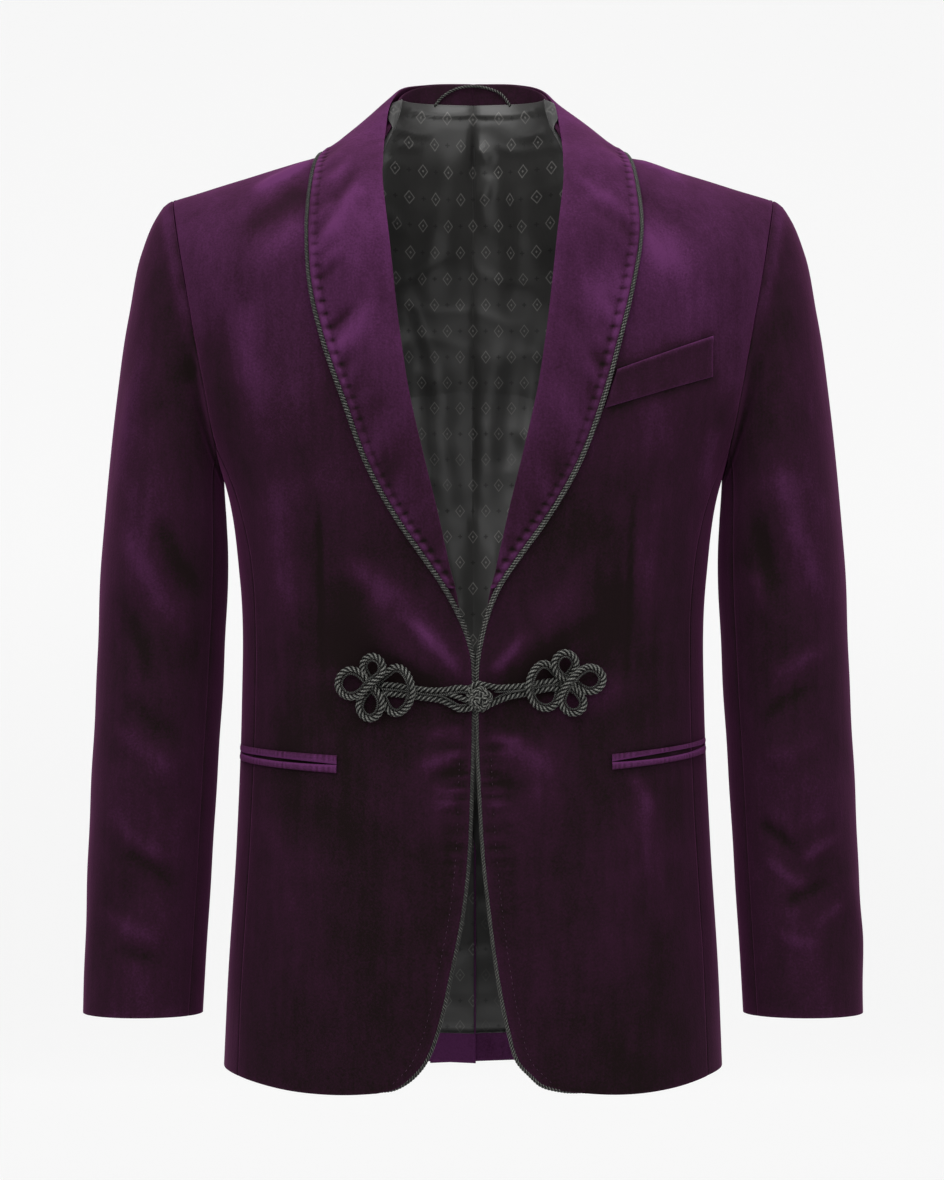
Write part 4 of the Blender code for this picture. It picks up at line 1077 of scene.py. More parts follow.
def front_grid(side_name, side):
    """A front's points from the hem up and from its edge out, and the same places as x and z."""
    edge_x, edge_z, side_x, side_z = front_outline(side_name)
    side_x = side_x - SEAM_GAP / 2
    ends = through(np.arange(len(edge_x)), np.stack([edge_x, edge_z, side_x, side_z], -1))

    def place(row, share):
        inner_x, inner_z, outer_x, outer_z = ends(row).T[..., None]
        inner_x = inner_x - KNOT_PULL * near(inner_z - KNOT["z"], KNOT_PULL_RUN)
        bow = HEM_BOW * np.clip(1 - row[:, None] / HEM_BOW_ROWS, 0, 1) * 4 * share * (1 - share)
        return blend(inner_x, outer_x, share), blend(inner_z, outer_z, share) - bow

    def middle(row):
        x, z = place(row, np.array([FRONT_ROW_SHARE]))
        return front_point(side * x[:, 0], np.minimum(z[:, 0], shoulder_line(x[:, 0])))

    rows = spaced(middle, len(edge_x) - 1.0, FRONT_SPACING)
    x, z = place(rows, edge_shares(FRONT_WIDTH, FRONT_SPACING))
    z = np.minimum(z, shoulder_line(x))
    points = np.stack([side * x, front_y(side * x, z), z], -1)
    points[-1, :, 1] -= SEAM_GAP / 2
    return points, x, z


# Puckers beside the front edge: how high they stand, and how far in they are highest
PUCKER_RISE = 1.05
PUCKER_REACH = 10.0


def edge_puckers(reach, z):
    """Small level ripples that the stitched front edge gathers below the knot."""
    wave = np.sin(z / 1.75 + 1.8 * np.sin(z / 13)) * (0.65 + 0.35 * np.sin(z / 7.3 + reach / 9))
    gathered = rising(z, -452, -470) * rising(z, -640, -530)
    return PUCKER_RISE * wave * gathered * near(reach - PUCKER_REACH, PUCKER_REACH)


# How far the breast welt's shade reaches
WELT_SHADE_RUN = 5.0


def welt_shadow(side, x, z):
    """How far each place of the left front lies in the shade beside the breast welt, from 0 to 1."""
    if side < 0:
        return np.zeros(x.shape)
    start, end = WELT["x"]
    share = (x - start) / (end - start)
    top, bottom = blend(*WELT["top"], share), blend(*WELT["bottom"], share)
    apart = np.maximum(z - top, bottom - z)
    beside = rising(share, -0.12, -0.02) * rising(share, 1.04, 0.98)
    return beside * fading(np.maximum(apart, 0), WELT_SHADE_RUN)


def jet_of(side):
    """The hip pocket of one side."""
    return next(jet for jet in rows_of(JETS) if jet["side"] == side)


def slit_half(jet, share):
    """Half of how far a pocket's slit stands open, by the share of its length."""
    return jet["open"] * np.sin(np.pi * share ** JET_OPEN_SKEW)


# How far a slit's painted shade and its dent reach past its edges, and over how much they fade
SLIT_MARGIN = 0.8
SLIT_SOFTNESS = 1.2


def pocket_mouth(side, x, z):
    """How far each place of a front lies in the open slit of its hip pocket, from 0 to 1."""
    jet = jet_of(side)
    end_x = half_width(jet["slit"]) * np.sin(np.radians(JET_END_TURN))
    along = np.clip((x - jet["inner_x"]) / (end_x - jet["inner_x"]), 0, 1)
    middle = blend(jet["slit"], jet["side_slit"], along)
    inside = slit_half(jet, along) + SLIT_MARGIN - np.abs(z - middle)
    return ease(inside / SLIT_SOFTNESS) * ease(along / 0.05)


# Lighter places of the fronts: along their edges and along their hems, a painted highlight beside their side
# seams, and a painted sheen on the left chest with its place and size
EDGE_LIGHT = 0.25
HEM_LIGHT = 0.2
EDGE_LIGHT_RUN = 2.5
SIDE_LIGHT = 0.05
SIDE_LIGHT_RUN = 12.0
CHEST_SHEEN = {"light": 0.13, "x": 150.0, "z": -105.0, "half_width": 45.0, "half_height": 55.0}


def make_front(side_name, side, finish):
    """A front, with pulls from the knot, a dart, puckers beside its edge and the slit of its hip pocket."""
    grid, x, z = front_grid(side_name, side)
    reach = reach_from_edges(grid)
    from_edge = reach["first_column"]
    pulls = fold_rise(FRONT_CREASES, side, x, z) + fold_rise(DARTS, side, x, z)
    pulls = (pulls + 0.35 * unevenness(grid, size=46, seed=3)) * blend(0.25, 1.0, ease(from_edge / 12))
    pulls += edge_puckers(from_edge, z)
    slit = pocket_mouth(side, x, z)
    sewn = reach["last_column"] + np.where(z > FRONT_NOTCH_Z, 0, SEAM_WIDTH)
    rise = pulls + seam_dip(sewn, reach["last_row"]) - SLIT_DEPTH * slit
    # Painted light: lighter towards the top, painted highlights and shade on the creases and folds, and
    # painted shade in the pocket's open slit and beside the breast welt
    light = blend(0.11, 0.56, rising(z, -360, -30))
    crease_highlight = blend(0.07, 0.21, rising(z, -600, -480))
    nap = light + crease_highlight * pulls + 0.05 * fold_rise(FRONT_FOLDS, side, x, z) - 0.8 * slit
    nap += 0.06 * unevenness(grid, size=80, seed=5) - 0.3 * welt_shadow(side, x, z)
    # A painted sheen on the left chest
    if side > 0:
        sheen = near(x - CHEST_SHEEN["x"], CHEST_SHEEN["half_width"])
        nap += CHEST_SHEEN["light"] * sheen * near(z - CHEST_SHEEN["z"], CHEST_SHEEN["half_height"])
    # Lighter along the edges and the hem, and a painted highlight beside the side seam
    nap += EDGE_LIGHT * fading(from_edge, EDGE_LIGHT_RUN) + HEM_LIGHT * fading(reach["first_row"], EDGE_LIGHT_RUN)
    nap += SIDE_LIGHT * fading(reach["last_column"], SIDE_LIGHT_RUN)
    piece = cloth(f"velvet_front_{side_name}", grid, (0, -1, 0.2), PANEL_WALL, rise, finish, nap)
    settle(piece, f"front_{side_name}")


def make_side(side_name, side, finish):
    """The side panel, from the front seam round to the back seam, with the underarm as its top edge."""
    front_z = front_outline(side_name)[3]
    front_z = front_z[front_z <= FRONT_NOTCH_Z]
    back_z = BACK_ROWS["side"][BACK_ROWS["side"] <= BACK_NOTCH_Z]
    middle_z = blend(SIDE_HEM_Z, UNDERARM_Z, (front_z - front_z[0]) / (front_z[-1] - front_z[0]))
    heights = through(np.arange(len(front_z)), np.stack([front_z, middle_z, back_z], -1))
    rows = spaced(lambda row: heights(row)[:, 1:2] * np.array([[1.0, 0.0]]), len(front_z) - 1.0, spacing=6.0)
    front_z, middle_z, back_z = heights(rows).T[..., None]
    share = 2 * edge_shares(95.0, spacing=5.0) - 1
    z = blend(middle_z, np.where(share < 0, front_z, back_z), share ** 2)
    front_turn = turn_of(seam_reach(z, FRONT_NOTCH_Z, FRONT_SEAM_REACH))
    back_turn = np.pi - turn_of(seam_reach(z, BACK_NOTCH_Z, BACK_SEAM_REACH))
    turn = np.where(share < 0, blend(np.pi / 2, front_turn, -share), blend(np.pi / 2, back_turn, share))
    top_turn = turn_of(armhole_x(z[-1]) / half_width(z[-1]))
    top_turn = np.where(share < 0, top_turn, np.pi - top_turn)
    up = (z - z[0]) / (z[-1] - z[0])
    turn = turn + (top_turn - turn[-1]) * up ** 4
    trim = SEAM_GAP / 2 / front_depth(z)
    turn[:, 0] += trim[:, 0]
    turn[:, -1] -= trim[:, -1]
    grid = mirrored(ring_point(turn, z), side)
    reach = reach_from_edges(grid)
    rise = 0.5 * unevenness(grid, size=60, seed=11)
    rise = rise + seam_dip(reach["first_column"] + SEAM_WIDTH, reach["last_column"])
    # Painted highlights on the raised folds, with random tone
    nap = 0.16 + 0.12 * rise + 0.06 * unevenness(grid, size=80, seed=13)
    piece = cloth(f"velvet_side_{side_name}", grid, (side, 0, 0), PANEL_WALL, rise, finish, nap)
    settle(piece, f"side_{side_name}")


def back_grid(side_name):
    """Rows and columns of a back: x towards its own side, and heights, from the hem to the neck."""
    middle_z, side_z = BACK_ROWS["middle"].copy(), BACK_ROWS["side"].copy()
    middle_z[-1], side_z[-1] = neck_ridge(0.0)[1], SHOULDER_TIP_Z
    heights = through(np.arange(len(middle_z)), np.stack([middle_z, side_z], -1))
    overlap = VENT_OVERLAP if side_name == "left" else VENT_UNDERLAP

    def place(row, share):
        inner_z, outer_z = heights(row).T[..., None]
        side_x = panel_side_x(outer_z, BACK_NOTCH_Z, BACK_SEAM_REACH) - SEAM_GAP / 2
        in_vent = ease((VENT_TOP_Z - VENT_RAMP - inner_z) / VENT_EASE + 0.5)
        x = blend(blend(SEAM_GAP / 2, -overlap, in_vent), side_x, share)
        z = blend(inner_z, outer_z, share)
        drop_middle = neck_ridge(0.0)[1] - inner_z
        drop = blend(drop_middle, shoulder_line(side_x) - outer_z, share)
        under_ridge = neck_ridge(x)[1] - np.maximum(drop, 0)
        z = blend(z, under_ridge, ease(1 - drop_middle / NECK_EASE_DROP))
        return x, np.minimum(z, neck_ridge(x)[1])

    def middle(row):
        x, z = place(row, np.array([0.5]))
        return back_point(x[:, 0], z[:, 0])

    rows = spaced(middle, len(middle_z) - 1.0, spacing=5.0)
    return place(rows, edge_shares(200.0, spacing=4.5))


def make_back(side_name, side, finish):
    """A back with its leaf of the vent. Its inner face shows the turned-up hem."""
    x, z = back_grid(side_name)
    grid = np.stack([side * x, back_y(side * x, z, side), z], -1)
    grid[-1, :, 1] += SEAM_GAP / 2
    reach = reach_from_edges(grid)
    no_seam = 99.0
    sewn = np.where(z > VENT_TOP_Z, reach["first_column"], no_seam)
    rise = fold_rise(BACK_CREASES, side, x, z) + 0.35 * unevenness(grid, size=46, seed=17)
    rise = rise * ease(reach["first_column"] / 40) * rising(z, -735, -705)
    rise = rise + seam_dip(reach["last_column"], reach["last_row"], sewn)
    # Painted light: lighter towards the top and on the raised creases, with random tone
    nap = blend(0.12, 0.52, rising(z, -300, 0)) + 0.16 * rise + 0.1 * unevenness(grid, size=80, seed=19)
    turned_up = np.full(z.shape, TURN_UP_NAP_AND_LIGHT[side_name]) + 0.08 * unevenness(grid, size=30, seed=21)
    name = f"velvet_back_{side_name}"
    piece = cloth(name, grid, (0, 1, 0.2), PANEL_WALL, rise, finish, nap, turned_up)
    settle(piece, f"back_{side_name}")


def lining_folds(side, across, height):
    """How far the satin lining stands off in soft folds and crumples."""
    flat = np.stack([side * across, 0 * across, height], -1)
    folds = fold_rise(LINING_CREASES, side, across, height) + 0.8 * unevenness(flat, size=30, seed=23) + 0.3
    return np.maximum(folds, 0) + 0.7 * near(unevenness(flat, size=40, seed=77), 0.3)


def make_lining(side_name, side, finish):
    """The satin back lining: the back's own places, moved in behind its cloth, from above the hem up."""
    x, z = back_grid(side_name)
    keep = z[:, 0] > BACK_ROWS["middle"][2]
    x, z = x[keep], z[keep]
    start = np.maximum(x[:, :1], VENT_LINING_START[side_name])
    x = blend(start, x[:, -1:], (x - x[:, :1]) / (x[:, -1:] - x[:, :1]))
    depth = -(PANEL_WALL + LINING_CLEAR) - VENT_LINING_DROP * ease((VENT_TOP_Z - z) / VENT_RAMP)
    grid = back_point(side * x, z, depth, side)
    reach = reach_from_edges(grid)
    still = ease(reach["first_column"] / 5) * ease(reach["last_column"] / 8) * ease(reach["last_row"] / 8)
    vent_edge = 0.7 * near(reach["first_column"] - 9, 1.2) * ease((VENT_TOP_Z - z) / 20)
    rise = vent_edge - lining_folds(side, x, z) * still * ease(reach["first_row"] / 20)
    rise += near(reach["first_row"], 1.2)
    name = f"satin_lining_{side_name}"
    piece = cloth(name, grid, (0, 1, 0), LINING_WALL, rise, finish, edge_round=LINING_EDGE_ROUND)
    # Painted light, rising towards the bottom where the fronts shade the lining, and painted shadow in the
    # vent
    shade = LINING_SHADE + 2.1 * rising(z, -230, -380)
    add_weave(piece, grid, blend(shade, VENT_SHADE[side_name], rising(z, VENT_TOP_Z + 60, VENT_TOP_Z)))
    settle(piece, f"lining_back_{side_name}")


def make_neck_fold(side_name, side, finish):
    """The lining's top, which runs from the back up inside the collar band and ends in a level tuck."""
    lower, upper = stand_rails()
    rolls = np.stack([COLLAR_BACK[name] for name in ("roll_x", "roll_y", "roll_z")], -1)
    wanted = edge_shares(120.0, spacing=3.0) * NECK_FOLD_END
    low, high, roll = (through(np.arange(len(rail)), rail)(wanted) for rail in (lower, upper, rolls))
    inwards = -away_from_neck(low)
    inwards[0, 0] = 0
    share = np.clip((NECK_FOLD_Z - low[:, 2]) / (high[:, 2] - low[:, 2]), 0.06, 1)[:, None]
    before_stand = blend(low, high, share) + inwards * (STAND_WALL + LINING_WALL + NECK_FOLD_CLEAR)
    at_side = rising(roll[:, 2:], 42.5, 39.5) * ease((NECK_FOLD_END - wanted[:, None]) / 0.4)
    before_stand += at_side * [0, 0, 1.2]
    top = blend(before_stand + [0, 0, 1.0], roll - [0, 0, 0.8], at_side)
    knee = low + inwards * (STAND_WALL + LINING_WALL + NECK_FOLD_KNEE_CLEAR) - [0, 0, NECK_FOLD_KNEE_DROP]

    def on_back(height):
        x = low[:, 0] * 0.99
        z = np.broadcast_to(height, x.shape)
        return np.stack([x, back_y(x, z) - PANEL_WALL - LINING_CLEAR + 0.3, z], -1)

    foot = on_back(NECK_FOLD_FOOT_Z)
    straight = blend(foot, knee, 0.4)
    leaning = blend(on_back(straight[:, 2]), straight, 0.5)
    sections = [on_back(NECK_FOLD_FOOT_Z - NECK_FOLD_LAP), foot, leaning, knee, before_stand, top]
    curve = through(NECK_FOLD_STATIONS, np.stack(sections).reshape(len(sections), -1))
    rows = edge_shares(260.0, spacing=2.6)
    grid = curve(rows).reshape(-1, len(wanted), 3)
    grid[:, 0, 0] = SEAM_GAP / 2
    reach = reach_from_edges(grid)
    below_top = reach["last_row"]
    tuck_edge = NECK_FOLD_TUCK + 1.6 * unevenness(grid, size=22, seed=71)
    tuck = (0.3 + 0.07 * below_top) * ease((tuck_edge - below_top) / 2.6)
    folds = lining_folds(side, grid[..., 0], grid[..., 2]) * rising(below_top, 10, 20)
    still = ease(reach["last_column"] / 12) * blend(0.2, 1.0, ease(reach["first_column"] / 5))
    rise = (NECK_FOLD_TUCK_RISE * tuck + folds) * still
    placed = mirrored(grid, side)
    facing = mirrored(np.broadcast_to(inwards, grid.shape), side)
    name = f"satin_neck_fold_{side_name}"
    piece = cloth(name, placed, facing, LINING_WALL, rise, finish, edge_round=LINING_EDGE_ROUND)
    # Painted shade on the part that faces up beside the stand and on the band below the tuck, over the
    # painted light near the neck
    on_stand = ease((rows[:, None] - 0.955) / 0.02) * at_side[:, 0]
    dimmed = 0.28 * rising(below_top, 11, 14) * rising(below_top, 70, 20)
    shade = LINING_SHADE + 0.06 * ease(reach["first_row"] / 180)
    add_weave(piece, placed, shade * (1 - dimmed - 0.5 * on_stand))
    settle(piece, None)


def make_sleeve(part, side_name, side, first, last, width, finish):
    """One cut piece of a sleeve, between two turns."""
    usual_radius, usual_length = 55.0, 640.0
    trim = SEAM_GAP / 2 / usual_radius
    turns = blend(np.radians(first) + trim, np.radians(last) - trim, edge_shares(width, spacing=3.6))
    turns = np.where(turns > np.pi, turns - 2 * np.pi, turns)
    grid, out = sleeve_rings(turns, edge_shares(usual_length, spacing=3.8), side)
    reach = reach_from_edges(grid)
    head = reach["first_row"]
    z = grid[..., 2]
    angle = np.broadcast_to(np.degrees(turns), z.shape)
    rise = fold_rise(SLEEVE_CREASES, side, angle, z) + 0.4 * unevenness(grid, size=46, seed=29)
    rise = rise * ease(head / 8)
    rise += 1.3 * near(head - 7, 6) * ease((np.cos(turns) + 0.2) / 0.8)
    rise += seam_dip(reach["first_column"], reach["last_column"]) + 0.5 * seam_dip(head)
    # Painted light: lighter towards the top, painted shade on the front of the sleeve head and on the inner
    # front side of the upper sleeve, painted highlights and shade on the creases, lighter at the cuff's edge,
    # and a painted highlight along the puckered head seam
    light = 0.21 + 0.1 * rising(z, -480, -200)
    light -= 0.13 * near(head, 85) * rising(angle, -30, -65)
    light -= 0.05 * rising(angle, -70, -120) * rising(angle, -230, -170) * rising(z, -520, -360)
    nap = light + (0.14 + 0.1 * fading(head, 50)) * rise + 0.06 * unevenness(grid, size=70, seed=31)
    nap += HEM_LIGHT * fading(reach["last_row"], EDGE_LIGHT_RUN)
    nap += (0.1 + 0.12 * unevenness(grid, size=14, seed=33)) * fading(head, 9)
    name = f"{part}_sleeve_{side_name}"
    placed, facing = mirrored(grid, side), mirrored(out, side)
    edge_round = SLEEVE_EDGE_ROUND
    piece = cloth(f"velvet_{name}", placed, facing, SLEEVE_WALL, rise, finish, nap, edge_round=edge_round)
    settle(piece, name)


def collar_wrinkles(grid, reach):
    """Short slanting wrinkles that run in from the stitched edge of a lapel."""
    slant = run_along(grid[:, -1])[:, None] + 0.9 * reach
    wave = np.sin(slant / 5.1 + 1.7 * np.sin(slant / 23)) * np.sin(slant / 31 + 0.8) ** 2
    return 0.9 * wave * near(reach - 12, 9)


def padded_edge(line, reach):
    """Pads between the stitches along an edge, and the dents of the stitches, each from 0 to 1."""
    run = run_along(line)[:, None]
    phase = run / STITCH_SPACING + 0.3 * np.sin(run / 41) + 0.15 * np.sin(run / 17)
    swell = np.abs(np.sin(np.pi * phase)) ** 0.7
    uneven = 0.75 + 0.25 * np.sin(run / 29 + 1)
    pad = uneven * swell * np.sin(np.pi * np.clip(reach / (STITCH_INSET + 1.5), 0, 1))
    dent = uneven * (1 - swell) * near(reach - STITCH_INSET, 2.2)
    seam = 0.25 * near(reach - STITCH_INSET, 1.2)
    return pad, np.maximum(dent, seam)


# Rise of the lapel's pads and depth of its stitches, and the painted highlight on the pads and painted shade
# in the stitch dents
PAD_RISE = 0.9
STITCH_DEPTH = 1.2
PAD_LIGHT = 0.26
STITCH_DARK = 0.6


def make_collar(side_name, side, finish):
    """Half of the shawl collar with its lapel, padded between the stitches along its outer edge."""
    grid = collar_grid(side_name, side, edge_shares(58.0, spacing=2.2))
    grid[0, :, 0] += side * SEAM_GAP / 2
    if side < 0:
        # The right half stands up more beside the neck
        lifted = near(grid[..., 0] + 68, 16) * rising(grid[..., 2], 5, 25)
        grid[..., 2] += COLLAR_RIGHT_LIFT * lifted
    reach = reach_from_edges(grid)
    from_edge = reach["last_column"]
    z = grid[..., 2]
    creases = fold_rise(LAPEL_CREASES, side, side * grid[..., 0], z) + collar_wrinkles(grid, from_edge)
    rise = (0.25 * unevenness(grid, size=30, seed=37) + creases) * ease(from_edge / 6)
    pad, stitch = padded_edge(grid[:, -1], from_edge)
    rise += seam_dip(reach["first_row"]) + PAD_RISE * pad - STITCH_DEPTH * stitch
    # The collar is lighter than the fronts because its pile lies the other way, and lighter towards the top
    # with painted light; painted highlights and shade on its creases, painted highlights on the pads and
    # along the roll, painted shade in the stitch dents, and random tone
    light = 0.68 - 0.36 * rising(z, -60, -320)
    nap = light + 0.1 * unevenness(grid, size=40, seed=41) + 0.2 * rise
    nap += PAD_LIGHT * pad - STITCH_DARK * stitch + 0.12 * fading(reach["first_column"], 4)
    piece = cloth(f"velvet_collar_{side_name}", grid, (0, -0.5, 1.0), COLLAR_WALL, rise, finish, nap)
    settle(piece, f"collar_{side_name}")


def make_stand(side_name, side, finish):
    """Half of the collar stand, the velvet band inside the neck."""
    lower, upper = stand_rails()
    wanted = edge_shares(120.0, spacing=4.0) * (len(lower) - 2 + STAND_END_SHARE)
    low, high = (through(np.arange(len(rail)), rail)(wanted) for rail in (lower, upper))
    grid = np.array([blend(low, high, share) for share in edge_shares(26.0, spacing=3.0)])
    outwards = away_from_neck(grid)
    outwards[:, 0, 0] = 0
    grid[:, 0, 0] += SEAM_GAP / 2
    reach = reach_from_edges(grid)
    rise = 0.2 * unevenness(grid, size=30, seed=43) + 0.5 * seam_dip(reach["first_column"])
    nap = 0.315 + 0.075 * unevenness(grid, size=40, seed=47)
    placed, facing = mirrored(grid, side), mirrored(outwards, side)
    piece = cloth(f"velvet_stand_{side_name}", placed, facing, STAND_WALL, rise, finish, nap)
    settle(piece, f"collar_stand_{side_name}")


# Shares of a jet's height where its rows lie, and how far its outer edge is sewn in
JET_LEVELS = np.array([0, 0.06, 0.16, 0.3, 0.5, 0.7, 0.84, 0.94, 1.0])
JET_SEWN_IN = 1.2


def make_jets(side_name, side, finish):
    """The two rolled velvet jets of a hip pocket, with the slit a little open between them."""
    jet = jet_of(side)
    first = turn_of(jet["inner_x"] / half_width(jet["slit"]))
    share = edge_shares(JET_LENGTH, spacing=1.6)
    turns = blend(first, np.radians(JET_END_TURN), share)
    level = JET_LEVELS[:, None]
    top, slit, bottom = (blend(jet[line], jet["side_" + line], share) for line in ("top", "slit", "bottom"))
    half = slit_half(jet, share)
    proud = blend(LAY_CLEAR + TRIM_WALL, 0.5, ease((share - 0.8) / 0.2))
    run = share * JET_LENGTH
    pucker = np.sin(run * 1.9 + 2 * np.sin(run * 0.23)) * np.sin(run * 0.11 + 0.6) ** 2
    upper = (slit + half, top - JET_SEWN_IN, 1 - level)
    lower = (bottom + JET_SEWN_IN, slit - half - JET_GAP, level)
    for part, (low_z, high_z, fold) in (("upper", upper), ("lower", lower)):
        z = blend(low_z, high_z, level)
        turn, out = np.broadcast_to(turns, z.shape), np.broadcast_to(proud, z.shape)
        grid = mirrored(ring_point(turn, z, out), side)
        body = np.sin(np.pi * np.clip(0.12 + fold * 0.8, 0, 1))
        rise = (0.7 * body + 0.28 * pucker * body) * ease((1 - share) / 0.12)
        # Painted highlight along each jet's rolled lip beside the slit and on its puckers, and painted shade
        # along its sewn edge
        nap = 0.74 + 0.4 * near(fold - 0.95, 0.2) + 0.22 * pucker - 0.2 * near(fold, 0.15)
        piece = cloth(f"velvet_jet_{part}_{side_name}", grid, (side, -1, 0), TRIM_WALL, rise, finish, nap)
        settle(piece, f"pocket_jet_{part}_{side_name}")


def make_welt(finish):
    """The slanted breast pocket welt on the wearer's left, which starts beside the lapel."""
    share = edge_shares(80.0, spacing=3.0)
    start, end = WELT["x"]
    top = np.stack([blend(start, end, share), blend(*WELT["top"], share)], -1)
    bottom = np.stack([blend(start - WELT_SLANT, end, share), blend(*WELT["bottom"], share)], -1)
    place = blend(bottom, top, edge_shares(30.0, spacing=3.0)[:, None, None])
    grid = front_point(place[..., 0], place[..., 1], LAY_CLEAR + TRIM_WALL)
    reach = reach_from_edges(grid)
    rise = 0.3 * unevenness(grid, size=30, seed=61) + 0.7 * near(reach["last_row"] - 2.5, 2.5)
    # Painted highlights along the welt's top, bottom and outer end
    nap = 0.34 + 0.1 * unevenness(grid, size=40, seed=67) + 0.55 * fading(reach["last_row"], 1.6)
    nap += 0.3 * fading(reach["first_row"], 1.0) + 0.45 * fading(reach["last_column"], 1.6)
    piece = cloth("velvet_welt", grid, (0, -1, 0), TRIM_WALL, rise, finish, nap)
    settle(piece, "breast_welt")


def feed(tree, made, inputs):
    """Gives a node its inputs, each a value or a socket to link, by name or by number."""
    for name, value in inputs.items():
        named = [socket for socket in made.inputs if socket.name == name and socket.enabled]
        socket = named[0] if named else made.inputs[name]
        if isinstance(value, bpy.types.NodeSocket):
            tree.links.new(value, socket)
        else:
            socket.default_value = value


def node(tree, kind, inputs=None, **settings):
    """A node with its settings and its inputs."""
    made = tree.nodes.new(kind)
    for name, value in settings.items():
        setattr(made, name, value)
    feed(tree, made, inputs or {})
    return made


def maths(tree, operation, *values):
    return node(tree, "ShaderNodeMath", dict(enumerate(values)), operation=operation).outputs[0]


def along_axes(tree, operation, *values):
    made = node(tree, "ShaderNodeVectorMath", dict(enumerate(values)), operation=operation)
    return made.outputs["Value" if operation == "DISTANCE" else "Vector"]


def scaled(tree, vector, factor):
    made = node(tree, "ShaderNodeVectorMath", {0: vector, "Scale": factor}, operation="SCALE")
    return made.outputs["Vector"]


def attribute(tree, name):
    """A value that a mesh carries on each point, for a material."""
    return node(tree, "ShaderNodeAttribute", attribute_name=name).outputs["Fac"]


def object_place(tree):
    return node(tree, "ShaderNodeTexCoord").outputs["Object"]


def noise(tree, place, scale, detail, stretch=None):
    if stretch:
        place = along_axes(tree, "MULTIPLY", place, stretch)
    made = node(tree, "ShaderNodeTexNoise", {"Vector": place, "Scale": scale, "Detail": detail})
    return made.outputs["Factor" if "Factor" in made.outputs else "Fac"]


def relief(tree, height, strength, distance):
    """A bump from a height."""
    inputs = {"Height": height, "Strength": strength, "Distance": distance}
    return node(tree, "ShaderNodeBump", inputs).outputs["Normal"]


def ramp(tree, value, stops):
    """A colour ramp with its stops as (place, colour)."""
    made = node(tree, "ShaderNodeValToRGB", {"Fac": value})
    band = made.color_ramp
    while len(band.elements) < len(stops):
        band.elements.new(0.5)
    for element, (place, colour) in zip(band.elements, stops):
        element.position = place
        element.color = (*colour, 1)
    return made.outputs["Color"]


def new_group(name, kind, inputs, outputs):
    """A node group with its sockets by name and kind, and its two ends."""
    tree = bpy.data.node_groups.new(name, kind)
    for way, sockets in (("INPUT", inputs), ("OUTPUT", outputs)):
        for label, socket in sockets.items():
            tree.interface.new_socket(label, in_out=way, socket_type="NodeSocket" + socket)
    return tree, tree.nodes.new("NodeGroupInput"), tree.nodes.new("NodeGroupOutput")


# Noises of the velvet's pile: scale, detail, stretch and share in its shade
PILE_NOISES = {
    "crushed": (24.0, 4.0, None, 0.24),
    "mottle": (85.0, 4.0, (1.0, 1.0, 0.6), 0.26),
    "streaks": (160.0, 3.0, (1.0, 1.0, 0.13), 0.23),
    "tufts": (640.0, 2.0, None, 0.5),
}


def pile_group():
    """Velvet pile: tufts, brushed streaks and crushed places, as a shade and a height."""
    inputs = {"Place": "Vector", "Nap": "Float"}
    outputs = {"Shade": "Float", "Height": "Float"}
    tree, start, end = new_group("velvet_pile", "ShaderNodeTree", inputs, outputs)
    shade = start.outputs["Nap"]
    noises = {}
    for name, (scale, detail, stretch, amount) in PILE_NOISES.items():
        noises[name] = noise(tree, start.outputs["Place"], scale, detail, stretch)
        shade = maths(tree, "MULTIPLY_ADD", maths(tree, "SUBTRACT", noises[name], 0.5), amount, shade)
    streaks = maths(tree, "MULTIPLY", noises["streaks"], 0.8)
    height = maths(tree, "MULTIPLY_ADD", noises["tufts"], 0.6, streaks)
    feed(tree, end, {"Shade": shade, "Height": height})
    return tree


# The lining's repeat, in shares of it: reach and slant of a lozenge, and sizes of its dot, lines and crosses
LOZENGE_REACH = 0.23
LOZENGE_SLANT = 1.35
LOZENGE_DOT = 0.03
LOZENGE_LINE = 0.03
CROSS_LINE = 0.026
CROSS_REACH = 0.085
WEAVE_REPEAT = 0.021


